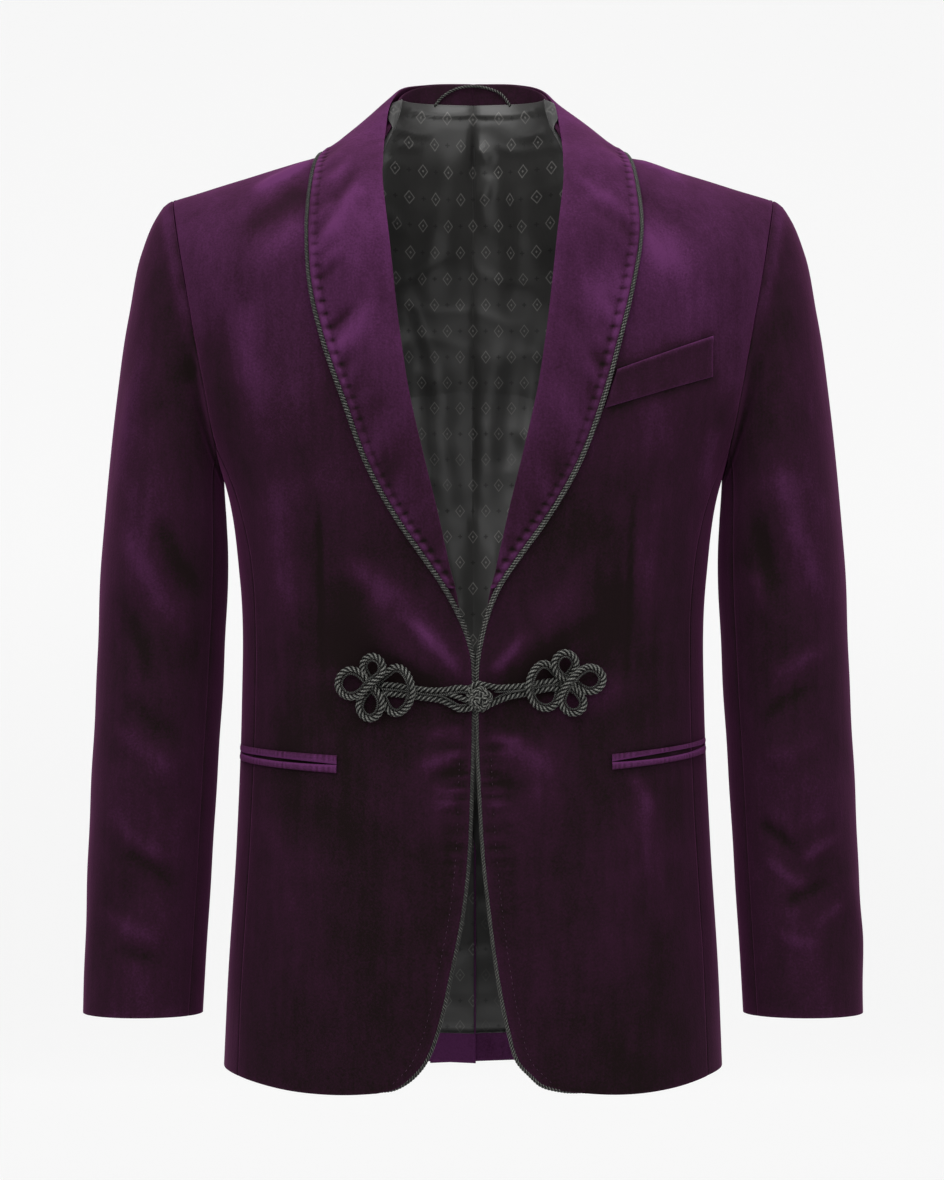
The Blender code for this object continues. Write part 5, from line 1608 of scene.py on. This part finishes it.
def motif_group():
    """The lining's woven repeat: outlined lozenges with a dot, and small crosses, in staggered rows."""
    inputs = {"Place": "Vector", "Repeat": "Float"}
    outputs = {"Lozenge": "Float", "Cross": "Float", "Thread": "Float"}
    tree, start, end = new_group("woven_lozenges", "ShaderNodeTree", inputs, outputs)
    place, repeat = start.outputs["Place"], start.outputs["Repeat"]
    parts = node(tree, "ShaderNodeSeparateXYZ", {"Vector": place})
    u, v = (maths(tree, "DIVIDE", parts.outputs[axis], repeat) for axis in "XY")
    row_shift = maths(tree, "MULTIPLY", maths(tree, "FLOORED_MODULO", maths(tree, "FLOOR", v), 2.0), 0.5)
    x = maths(tree, "SUBTRACT", maths(tree, "FRACT", maths(tree, "ADD", u, row_shift)), 0.5)
    y = maths(tree, "SUBTRACT", maths(tree, "FRACT", v), 0.5)
    wide, high = maths(tree, "ABSOLUTE", x), maths(tree, "ABSOLUTE", y)
    reach = maths(tree, "MULTIPLY_ADD", wide, LOZENGE_SLANT, high)
    outline = maths(tree, "ABSOLUTE", maths(tree, "SUBTRACT", reach, LOZENGE_REACH))
    dot = maths(tree, "ABSOLUTE", maths(tree, "SUBTRACT", reach, LOZENGE_DOT))
    lozenge = maths(tree, "SUBTRACT", LOZENGE_LINE, maths(tree, "MINIMUM", outline, dot))
    far = maths(tree, "SUBTRACT", 0.5, wide)
    arm = maths(tree, "SUBTRACT", CROSS_LINE, maths(tree, "MINIMUM", far, high))
    end_of_arm = maths(tree, "SUBTRACT", CROSS_REACH, maths(tree, "MAXIMUM", far, high))
    cross = maths(tree, "MINIMUM", arm, end_of_arm)
    for label, mask in (("Lozenge", lozenge), ("Cross", cross)):
        edges = {"Value": mask, "From Min": -0.01, "From Max": 0.014}
        soft = node(tree, "ShaderNodeMapRange", edges, clamp=True)
        feed(tree, end, {label: soft.outputs["Result"]})
    feed(tree, end, {"Thread": noise(tree, place, 2600.0, 1.0, (1.0, 0.12, 1.0))})
    return tree


def yarn_group():
    """Fine yarns that wind round a strand, from the run along it and the share of a turn round it."""
    inputs = {"Run": "Float", "Around": "Float", "Yarns": "Float"}
    tree, start, end = new_group("wound_yarns", "ShaderNodeTree", inputs, {"Yarn": "Float"})
    slant = maths(tree, "MULTIPLY", start.outputs["Run"], 520.0)
    turn = maths(tree, "MULTIPLY_ADD", start.outputs["Around"], start.outputs["Yarns"], slant)
    wave = maths(tree, "SINE", maths(tree, "MULTIPLY", turn, 2 * np.pi))
    feed(tree, end, {"Yarn": maths(tree, "MULTIPLY_ADD", wave, 0.5, 0.5)})
    return tree


def new_material(name, **constants):
    """A Principled material with its plain values, and its tree and shader."""
    made = bpy.data.materials.new(name)
    made.use_nodes = True
    tree = made.node_tree
    shader = tree.nodes["Principled BSDF"]
    for label, value in constants.items():
        shader.inputs[label.replace("_", " ").title().replace("Ior", "IOR")].default_value = value
    return made, tree, shader


def velvet_finish(pile):
    made, tree, shader = new_material(
        "purple_velvet",
        roughness=0.9,
        sheen_weight=0.12,
        sheen_roughness=0.45,
        sheen_tint=(0.85, 0.2, 0.64, 1),
        specular_ior_level=0.03,
    )
    # The lightness each point carries is partly the lie of the pile and partly painted light and shade
    inputs = {"Place": object_place(tree), "Nap": attribute(tree, "nap")}
    brushed = node(tree, "ShaderNodeGroup", inputs, node_tree=pile)
    colour = ramp(tree, brushed.outputs["Shade"], [
        (0.0, (0.0056, 0.0035, 0.0033)),
        (0.33, (0.0165, 0.0049, 0.0120)),
        (0.66, (0.036, 0.0094, 0.0315)),
        (1.0, (0.066, 0.0170, 0.063)),
    ])
    normal = relief(tree, brushed.outputs["Height"], strength=0.5, distance=0.0005)
    feed(tree, shader, {"Base Color": colour, "Normal": normal})
    return made


def lining_finish(motifs):
    made, tree, shader = new_material(
        "charcoal_satin",
        specular_ior_level=0.4,
        anisotropic=0.3,
        sheen_weight=0.08,
        sheen_roughness=0.3,
    )
    place = node(tree, "ShaderNodeUVMap", uv_map="weave").outputs["UV"]
    woven = node(tree, "ShaderNodeGroup", {"Place": place, "Repeat": WEAVE_REPEAT}, node_tree=motifs)
    lozenge, cross, thread = (woven.outputs[name] for name in ("Lozenge", "Cross", "Thread"))
    dye = noise(tree, object_place(tree), 30.0, 3.0)
    tone = maths(tree, "MULTIPLY_ADD", dye, 0.3, 0.16)
    for part, amount in ((cross, -0.4), (lozenge, 0.6), (thread, 0.15)):
        tone = maths(tree, "MULTIPLY_ADD", part, amount, tone)
    colour = ramp(tree, tone, [
        (0.0, (0.009, 0.0088, 0.0084)),
        (0.5, (0.024, 0.0236, 0.0228)),
        (1.0, (0.075, 0.0725, 0.069)),
    ])
    motif = maths(tree, "MAXIMUM", lozenge, cross)
    rough = maths(tree, "MULTIPLY_ADD", motif, 0.25, maths(tree, "MULTIPLY_ADD", dye, 0.16, 0.3))
    height = maths(tree, "MULTIPLY_ADD", motif, 0.6, thread)
    # Its colour is scaled by the painted light and shade that each point carries
    feed(tree, shader, {
        "Base Color": scaled(tree, colour, attribute(tree, "shade")),
        "Roughness": rough,
        "Normal": relief(tree, height, strength=0.25, distance=0.0001),
    })
    return made


def cord_finish(name, yarns, yarn_count, light):
    made, tree, shader = new_material(name, specular_ior_level=0.22)
    inputs = {"Run": attribute(tree, "run"), "Around": attribute(tree, "around"), "Yarns": yarn_count}
    yarn = node(tree, "ShaderNodeGroup", inputs, node_tree=yarns).outputs["Yarn"]
    worn = noise(tree, object_place(tree), 220.0, 3.0)
    # Dark deep between the strands and light on their crowns: painted shade and painted highlight, with
    # random tone
    tone = maths(tree, "MULTIPLY_ADD", worn, 0.1, maths(tree, "MULTIPLY", yarn, 0.1))
    tone = maths(tree, "ADD", attribute(tree, "proud"), maths(tree, "SUBTRACT", tone, 0.1))
    between = [0.22 * share for share in light]
    colour = ramp(tree, tone, [(0.83, (0.001, 0.001, 0.0009)), (0.94, between), (1.0, light)])
    feed(tree, shader, {
        "Base Color": colour,
        "Roughness": maths(tree, "MULTIPLY_ADD", worn, 0.25, 0.38),
        "Normal": relief(tree, yarn, strength=0.6, distance=0.00025),
    })
    return made


def thread_finish(pile):
    made, tree, shader = new_material("plum_thread", roughness=0.6, specular_ior_level=0.3)
    spun = node(tree, "ShaderNodeGroup", {"Place": object_place(tree), "Nap": 0.5}, node_tree=pile)
    stops = [(0.0, (0.016, 0.005, 0.013)), (1.0, (0.06, 0.018, 0.05))]
    feed(tree, shader, {"Base Color": ramp(tree, spun.outputs["Shade"], stops)})
    return made


def passed(tree, kind, geometry, inputs=None, **settings):
    """What a node makes of the geometry in its first socket."""
    return node(tree, kind, {0: geometry, **(inputs or {})}, **settings).outputs[0]


def stored(tree, geometry, name, value, kind):
    """Geometry that keeps a value on each point under a name."""
    inputs = {"Name": name, "Value": value}
    settings = {"data_type": kind, "domain": "POINT"}
    return passed(tree, "GeometryNodeStoreNamedAttribute", geometry, inputs, **settings)


def recalled(tree, name, kind):
    """A value that the geometry keeps under a name."""
    made = node(tree, "GeometryNodeInputNamedAttribute", {"Name": name}, data_type=kind)
    return made.outputs["Attribute"]


def dressed(tree, geometry, finish):
    """Plain smooth geometry with its material, as the end of a tree."""
    geometry = passed(tree, "GeometryNodeRealizeInstances", geometry)
    geometry = passed(tree, "GeometryNodeSetShadeSmooth", geometry)
    return passed(tree, "GeometryNodeSetMaterial", geometry, {"Material": finish})


def even_curve(tree, geometry, spacing):
    """The lines of a mesh as curves, with points at an even spacing."""
    curve = passed(tree, "GeometryNodeMeshToCurve", geometry)
    return passed(tree, "GeometryNodeResampleCurve", curve, {"Length": spacing}, mode="LENGTH")


def cord_tree():
    """Strands that wind round a path, each with its run and turn kept for the material."""
    inputs = {
        "Geometry": "Geometry",
        "Strands": "Int",
        "Strand radius": "Float",
        "Lay radius": "Float",
        "Pitch": "Float",
        "Step": "Float",
        "Sides": "Int",
        "Finish": "Material",
    }
    tree, start, end = new_group("twisted_cord", "GeometryNodeTree", inputs, {"Geometry": "Geometry"})
    given = start.outputs
    strand, lay = given["Strand radius"], given["Lay radius"]
    path = even_curve(tree, given["Geometry"], given["Step"])
    copies = {"Geometry": path, "Amount": given["Strands"]}
    strands = node(tree, "GeometryNodeDuplicateElements", copies, domain="SPLINE")
    length = node(tree, "GeometryNodeSplineParameter").outputs["Length"]
    position = node(tree, "GeometryNodeInputPosition").outputs["Position"]
    kept = stored(tree, strands.outputs["Geometry"], "run", length, "FLOAT")
    kept = stored(tree, kept, "centre", position, "FLOAT_VECTOR")
    turn = maths(tree, "DIVIDE", length, given["Pitch"])
    phase = maths(tree, "DIVIDE", strands.outputs["Duplicate Index"], given["Strands"])
    angle = maths(tree, "MULTIPLY", maths(tree, "ADD", turn, phase), 2 * np.pi)
    normal = node(tree, "GeometryNodeInputNormal").outputs["Normal"]
    tangent = node(tree, "GeometryNodeInputTangent").outputs["Tangent"]
    up = scaled(tree, normal, maths(tree, "COSINE", angle))
    over = scaled(tree, along_axes(tree, "CROSS_PRODUCT", tangent, normal), maths(tree, "SINE", angle))
    girth = recalled(tree, "girth", "FLOAT")
    offset = scaled(tree, along_axes(tree, "ADD", up, over), maths(tree, "MULTIPLY", lay, girth))
    wound = passed(tree, "GeometryNodeSetPosition", kept, {"Offset": offset})
    circle = {"Resolution": given["Sides"], "Radius": strand}
    ring = node(tree, "GeometryNodeCurvePrimitiveCircle", circle).outputs["Curve"]
    around = node(tree, "GeometryNodeSplineParameter").outputs["Factor"]
    ring = stored(tree, ring, "around", around, "FLOAT")
    outside = {"Profile Curve": ring, "Scale": girth, "Fill Caps": True}
    tubes = passed(tree, "GeometryNodeCurveToMesh", wound, outside)
    # How far out each point lies, which the cords' material turns into painted shade between the strands
    away = along_axes(tree, "DISTANCE", position, recalled(tree, "centre", "FLOAT_VECTOR"))
    away = maths(tree, "DIVIDE", away, girth)
    proud = maths(tree, "SUBTRACT", away, maths(tree, "SUBTRACT", lay, strand))
    proud = maths(tree, "DIVIDE", proud, maths(tree, "MULTIPLY", strand, 2.0))
    cord = stored(tree, tubes, "proud", proud, "FLOAT")
    for name in ("centre", "girth"):
        cord = passed(tree, "GeometryNodeRemoveAttribute", cord, {"Name": name})
    feed(tree, end, {"Geometry": dressed(tree, cord, given["Finish"])})
    return tree


def stitch_tree():
    """Short raised stitches along a path, each a little uneven."""
    inputs = {
        "Geometry": "Geometry",
        "Spacing": "Float",
        "Length": "Float",
        "Thickness": "Float",
        "Seed": "Int",
        "Finish": "Material",
    }
    tree, start, end = new_group("stitch_row", "GeometryNodeTree", inputs, {"Geometry": "Geometry"})
    given = start.outputs
    path = even_curve(tree, given["Geometry"], given["Spacing"])
    tangent = node(tree, "GeometryNodeInputTangent").outputs["Tangent"]
    turned = node(tree, "FunctionNodeAlignRotationToVector", {"Vector": tangent}, axis="X")
    spread = {"Min": (0.75, 0.9, 0.9), "Max": (1.2, 1.1, 1.1), "Seed": given["Seed"]}
    varied = node(tree, "FunctionNodeRandomValue", spread, data_type="FLOAT_VECTOR")
    half = maths(tree, "MULTIPLY", given["Length"], 0.5)
    thin = maths(tree, "MULTIPLY", given["Thickness"], 0.5)
    size = node(tree, "ShaderNodeCombineXYZ", {"X": half, "Y": thin, "Z": thin}).outputs["Vector"]
    bead = node(tree, "GeometryNodeMeshIcoSphere", {"Radius": 1.0, "Subdivisions": 1})
    row = passed(tree, "GeometryNodeInstanceOnPoints", path, {
        "Instance": bead.outputs["Mesh"],
        "Rotation": turned.outputs["Rotation"],
        "Scale": along_axes(tree, "MULTIPLY", size, varied.outputs["Value"]),
    })
    feed(tree, end, {"Geometry": dressed(tree, row, given["Finish"])})
    return tree


def along_paths(name, paths, tree, girth=1.0, **values):
    """A plain mesh that a node tree builds along paths in mm. A path whose ends meet is closed.

    Girth scales the thickness, by point.
    """
    points, links = [], []
    for path in paths:
        first = len(points)
        closed = np.linalg.norm(path[0] - path[-1]) < 0.001
        count = len(path) - 1 if closed else len(path)
        links += [(first + i, first + (i + 1) % count) for i in range(count if closed else count - 1)]
        points += (np.asarray(path[:count]) * MM).tolist()
    guide = bpy.data.meshes.new(name)
    guide.from_pydata(points, links, [])
    add_value(guide, "girth", np.broadcast_to(girth, len(points)))
    holder = bpy.data.objects.new(name + "_path", guide)
    bpy.context.scene.collection.objects.link(holder)
    builder = holder.modifiers.new("build", "NODES")
    builder.node_group = tree
    for item in tree.interface.items_tree:
        wanted = item.name.lower().replace(" ", "_")
        if item.in_out == "INPUT" and wanted in values:
            builder[item.identifier] = values[wanted]
    graph = bpy.context.evaluated_depsgraph_get()
    mesh = bpy.data.meshes.new_from_object(holder.evaluated_get(graph))
    mesh.name = name
    made = bpy.data.objects.new(name, mesh)
    bpy.context.scene.collection.objects.link(made)
    bpy.data.objects.remove(holder, do_unlink=True)
    return made


def twisted(name, paths, radius, pitch, strands, tree, finish, sides=8, girth=1.0):
    """Cords of strands whose outside is the radius asked for, in mm."""
    share = 1 / (1 + 1 / np.sin(np.pi / strands))
    strand = radius * share
    return along_paths(
        name,
        paths,
        tree,
        girth,
        strands=strands,
        strand_radius=strand * MM,
        lay_radius=(radius - strand) * MM,
        pitch=pitch * MM,
        step=0.9 * MM,
        sides=sides,
        finish=finish,
    )


def make_piping(side_name, side, tree, finish):
    """The piping: fullest along the lapel, thinner at the shoulder, and thin at its end under the hem."""
    path = piping_path(side_name, side)
    z = path[:, 2]
    girth = blend(PIPING_GIRTH["front"], PIPING_GIRTH["lapel"], ease((z - KNOT["z"] + 6) / 60))
    girth -= PIPING_GIRTH["shoulder_loss"] * rising(z, -215, -65)
    girth *= blend(PIPING_GIRTH["end"], 1.0, ease(np.linalg.norm(path - path[-1], axis=1) / 14))
    name = f"braid_piping_{side_name}"
    piece = twisted(name, [path], PIPING_RADIUS, side * PIPING_PITCH, 3, tree, finish, 6, girth)
    settle(piece, f"piping_{side_name}")


def closed_path(points, spacing):
    """A smooth closed curve through a few points, read at an even spacing.

    Its first point comes again at the end.
    """
    points = np.concatenate([points[-3:], points, points[:4]])
    station = run_along(points)
    fine = through(station, points)(np.linspace(station[3], station[-4], 60 * len(points)))
    run = run_along(fine)
    path = read_at(np.linspace(0, run[-1], int(run[-1] / spacing) + 1), run, fine)
    path[-1] = path[0]
    return path


def inwards_of(path):
    """Directions to the right of a path on the front, which is the inner side of its loops."""
    run = np.gradient(path, axis=0)
    run[[0, -1]] = path[1] - path[-2]
    return unit(np.stack([run[:, 2], 0 * run[:, 0], -run[:, 0]], -1))


def whole_pitch(path, pitch):
    """The pitch nearest to the one asked for that goes a whole number of times into a closed path."""
    length = np.sum(np.linalg.norm(np.diff(path, axis=0), axis=1))
    return length / round(length / pitch)


def make_stitches(side_name, side, tree, finish):
    """Short stitches beside the front edge, from below the knot down to the rounded corner."""
    grid = front_grid(side_name, side)[0]
    reach = reach_from_edges(grid)["first_column"]
    lift = grid_normals(grid)
    lift *= -np.sign(np.mean(lift[..., 1])) * FRONT_STITCH_LIFT
    inset = np.argmin(np.abs(reach - FRONT_STITCH_INSET), axis=1)
    share = FRONT_STITCH_INSET / np.take_along_axis(reach, inset[:, None], 1)
    line = np.array([blend(row[0], row[place], part) for row, place, part in zip(grid + lift, inset, share)])
    line = line[(line[:, 2] < FRONT_STITCH_TOP_Z) & (line[:, 2] > line[0, 2] + FRONT_STITCH_CORNER)]
    piece = along_paths(
        f"front_stitches_{side_name}",
        [line],
        tree,
        spacing=FRONT_STITCH_SPACING * MM,
        length=FRONT_STITCH_LENGTH * MM,
        thickness=FRONT_STITCH_THICKNESS * MM,
        seed=7,
        finish=finish,
    )
    settle(piece, None)


def stem_places(stem, side):
    """Places along a stem, at even distances across from the edge of the knot to its far end."""
    apart = side * (stem[:, 0] - KNOT["x"])
    nearest = np.argmin(apart)
    wanted = np.linspace(KNOT["radius"] + 1, apart[-1], 60)
    return read_at(wanted, apart[nearest:], stem[nearest:])


def make_frog(side_name, side, tree, finish, fine):
    """One frog: stems from the knot side by side, and a cord woven into four loops over their ends.

    A fine braid is sewn along the inner side of each cord.
    """
    low = STEM_CLEAR + FROG_RADIUS
    loops = FROG_LOOPS[side_name]
    middle = closed_path(frog_path(side_name, loops, low + loops["layer"] * LAYER_HEIGHT), spacing=2.0)
    inwards = inwards_of(middle)
    ring = middle - inwards * FROG_BRAID_RADIUS
    pitch = whole_pitch(ring, FROG_PITCH)
    head = twisted(f"rope_frog_{side_name}_head", [ring], FROG_RADIUS, pitch, 3, tree, finish)
    settle(head, f"frog_{side_name}_crown")
    tables = FROG_STEMS[side_name]
    stems = [even_path(frog_path(side_name, stem, low), spacing=2.0, bend=8.0) for stem in tables]
    rope = twisted(f"rope_frog_{side_name}_stems", stems, FROG_RADIUS, -FROG_PITCH, 3, tree, finish)
    settle(rope, f"frog_{side_name}_cord")
    beside_loops = middle + inwards * FROG_RADIUS - [0, FROG_BRAID_SINK, 0]
    upper, lower = (stem_places(stem, side) for stem in stems[:2])
    beside_stem = unit(lower - upper) * (FROG_RADIUS + FROG_BRAID_NEST * FROG_BRAID_RADIUS)
    lift = np.array([0, -FROG_RADIUS * FROG_BRAID_LIFT, 0])
    paths = [beside_loops, upper + beside_stem + lift, lower - beside_stem + lift]
    braid = twisted(f"braid_frog_{side_name}", paths, FROG_BRAID_RADIUS, FROG_BRAID_PITCH, 2, tree, fine, 6)
    settle(braid, None)


def make_knot(tree, finish):
    """The ball knot: one rope that weaves over and under itself round a small dome."""
    centre = front_point(KNOT["x"], KNOT["z"], KNOT["seat"] + KNOT["thickness"])
    turn = np.linspace(0, 2 * np.pi, 241)
    reach = KNOT["radius"] - KNOT_ROPE
    ring = reach * (0.58 + 0.42 * np.cos(4 * turn))
    dome = (KNOT["thickness"] - KNOT_ROPE) * np.sqrt(np.clip(1 - (ring / (reach * 1.08)) ** 2, 0, 1))
    weave = KNOT_WEAVE * np.sin(8 * turn)
    path = np.stack([ring * np.cos(3 * turn), -dome - weave, ring * np.sin(3 * turn)], -1) + centre
    piece = twisted("rope_knot", [path], KNOT_ROPE, whole_pitch(path, KNOT_PITCH), 3, tree, finish)
    settle(piece, "frog_knot")


def make_hanger(tree, finish):
    """The cord loop that the jacket hangs by, on the inner face of the collar stand."""
    low, high = (through(rail[:4, 0], rail[:4])(np.abs(HANGER["x"])) for rail in stand_rails())
    share = (HANGER["z"] - low[:, 2]) / (high[:, 2] - low[:, 2])
    y = blend(low[:, 1], high[:, 1], share) - STAND_WALL - HANGER_RADIUS - 2 * LAY_CLEAR
    path = even_path(np.stack([HANGER["x"], y, HANGER["z"]], -1), spacing=2.0, bend=8.0)
    piece = twisted("twisted_hanger", [path], HANGER_RADIUS, HANGER_PITCH, 2, tree, finish)
    settle(piece, "hanger_loop")


# The studio, in metres and watts: lights with their place, size and power, and where they aim
CAMERA_PLACE = (-0.0008, -3.2, -0.3476)
CAMERA_LENS = 123.6
WORLD_STRENGTH = 0.42
LIGHTS = {
    "key": ((-1.2, -2.6, 1.5), 2.0, 56.0),
    "fill": ((1.6, -2.4, 0.6), 2.0, 26.0),
    "front": ((0.0, -3.0, 0.3), 2.0, 14.0),
    "top": ((0.0, -0.5, 1.7), 1.6, 40.0),
    "right_edge": ((-2.2, -0.6, 0.3), 1.4, 7.0),
    "left_edge": ((2.2, -0.6, 0.3), 1.4, 8.0),
}
LIGHTS_AIM = (0.0, 0.0, -0.35)


def put_in_scene(name, data, place, turn):
    """An object of the studio at its place and turn."""
    made = bpy.data.objects.new(name, data)
    made.location = place
    made.rotation_euler = turn
    bpy.context.scene.collection.objects.link(made)
    return made


def make_floor():
    """A pale floor that sweeps up behind into a wall."""
    floor_z, wall_y, bend = -1450.0, 7000.0, 1200.0
    near_y, wall_top, half_across = -4500.0, 5200.0, 8000.0
    turn = np.linspace(0, np.pi / 2, 13)
    sweep = np.stack([wall_y - bend + bend * np.sin(turn), floor_z + bend - bend * np.cos(turn)], -1)
    profile = np.concatenate([[(near_y, floor_z)], sweep, [(wall_y, wall_top)]])
    points = np.array([(x, y, z) for y, z in profile for x in (-half_across, half_across)])
    index = np.arange(len(points)).reshape(-1, 2)
    faces = np.stack([index[:-1, 0], index[:-1, 1], index[1:, 1], index[1:, 0]], -1)
    pale = new_material(
        "pale_floor",
        roughness=1.0,
        emission_strength=0.68,
        base_color=(0.34, 0.34, 0.34, 1),
        emission_color=(1, 1, 1, 1),
    )[0]
    mesh_piece("floor", points, faces, pale)


def make_stage():
    """Camera at the photo's angle, soft studio lights and the floor."""
    scene = bpy.context.scene
    scene.view_settings.view_transform = "Standard"
    camera = bpy.data.cameras.new("camera")
    camera.sensor_width = 36.0
    camera.lens = CAMERA_LENS
    scene.camera = put_in_scene("camera", camera, CAMERA_PLACE, (np.pi / 2, 0, 0))
    world = bpy.data.worlds.new("studio")
    world.use_nodes = True
    sky = world.node_tree.nodes["Background"]
    feed(world.node_tree, sky, {"Color": (1, 1, 1, 1), "Strength": WORLD_STRENGTH})
    scene.world = world
    for name, (place, size, power) in LIGHTS.items():
        lamp = bpy.data.lights.new(name, "AREA")
        lamp.size = size
        lamp.energy = power
        aim = np.array(LIGHTS_AIM) - np.array(place)
        tilt = np.arctan2(np.hypot(aim[0], aim[1]), -aim[2])
        put_in_scene(name, lamp, place, (tilt, 0, np.arctan2(aim[1], aim[0]) - np.pi / 2))
    make_floor()


def main():
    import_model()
    make_stage()
    pile = pile_group()
    velvet = velvet_finish(pile)
    satin = lining_finish(motif_group())
    yarns = yarn_group()
    rope = cord_finish("charcoal_rope", yarns, 4.0, (0.125, 0.127, 0.115))
    braid = cord_finish("charcoal_braid", yarns, 3.0, (0.1, 0.101, 0.092))
    thread = thread_finish(pile)
    stitches = stitch_tree()
    strands = cord_tree()
    for side_name, side in SIDES.items():
        make_front(side_name, side, velvet)
        make_side(side_name, side, velvet)
        make_back(side_name, side, velvet)
        make_lining(side_name, side, satin)
        make_neck_fold(side_name, side, satin)
        make_sleeve("top", side_name, side, FRONT_SLEEVE_SEAM, BACK_SLEEVE_SEAM, 230.0, velvet)
        make_sleeve("under", side_name, side, BACK_SLEEVE_SEAM, 360 + FRONT_SLEEVE_SEAM, 85.0, velvet)
        make_collar(side_name, side, velvet)
        make_stand(side_name, side, velvet)
        make_piping(side_name, side, strands, braid)
        make_frog(side_name, side, strands, rope, braid)
        make_jets(side_name, side, velvet)
        make_stitches(side_name, side, stitches, thread)
    make_knot(strands, rope)
    make_welt(velvet)
    make_hanger(strands, rope)


main()
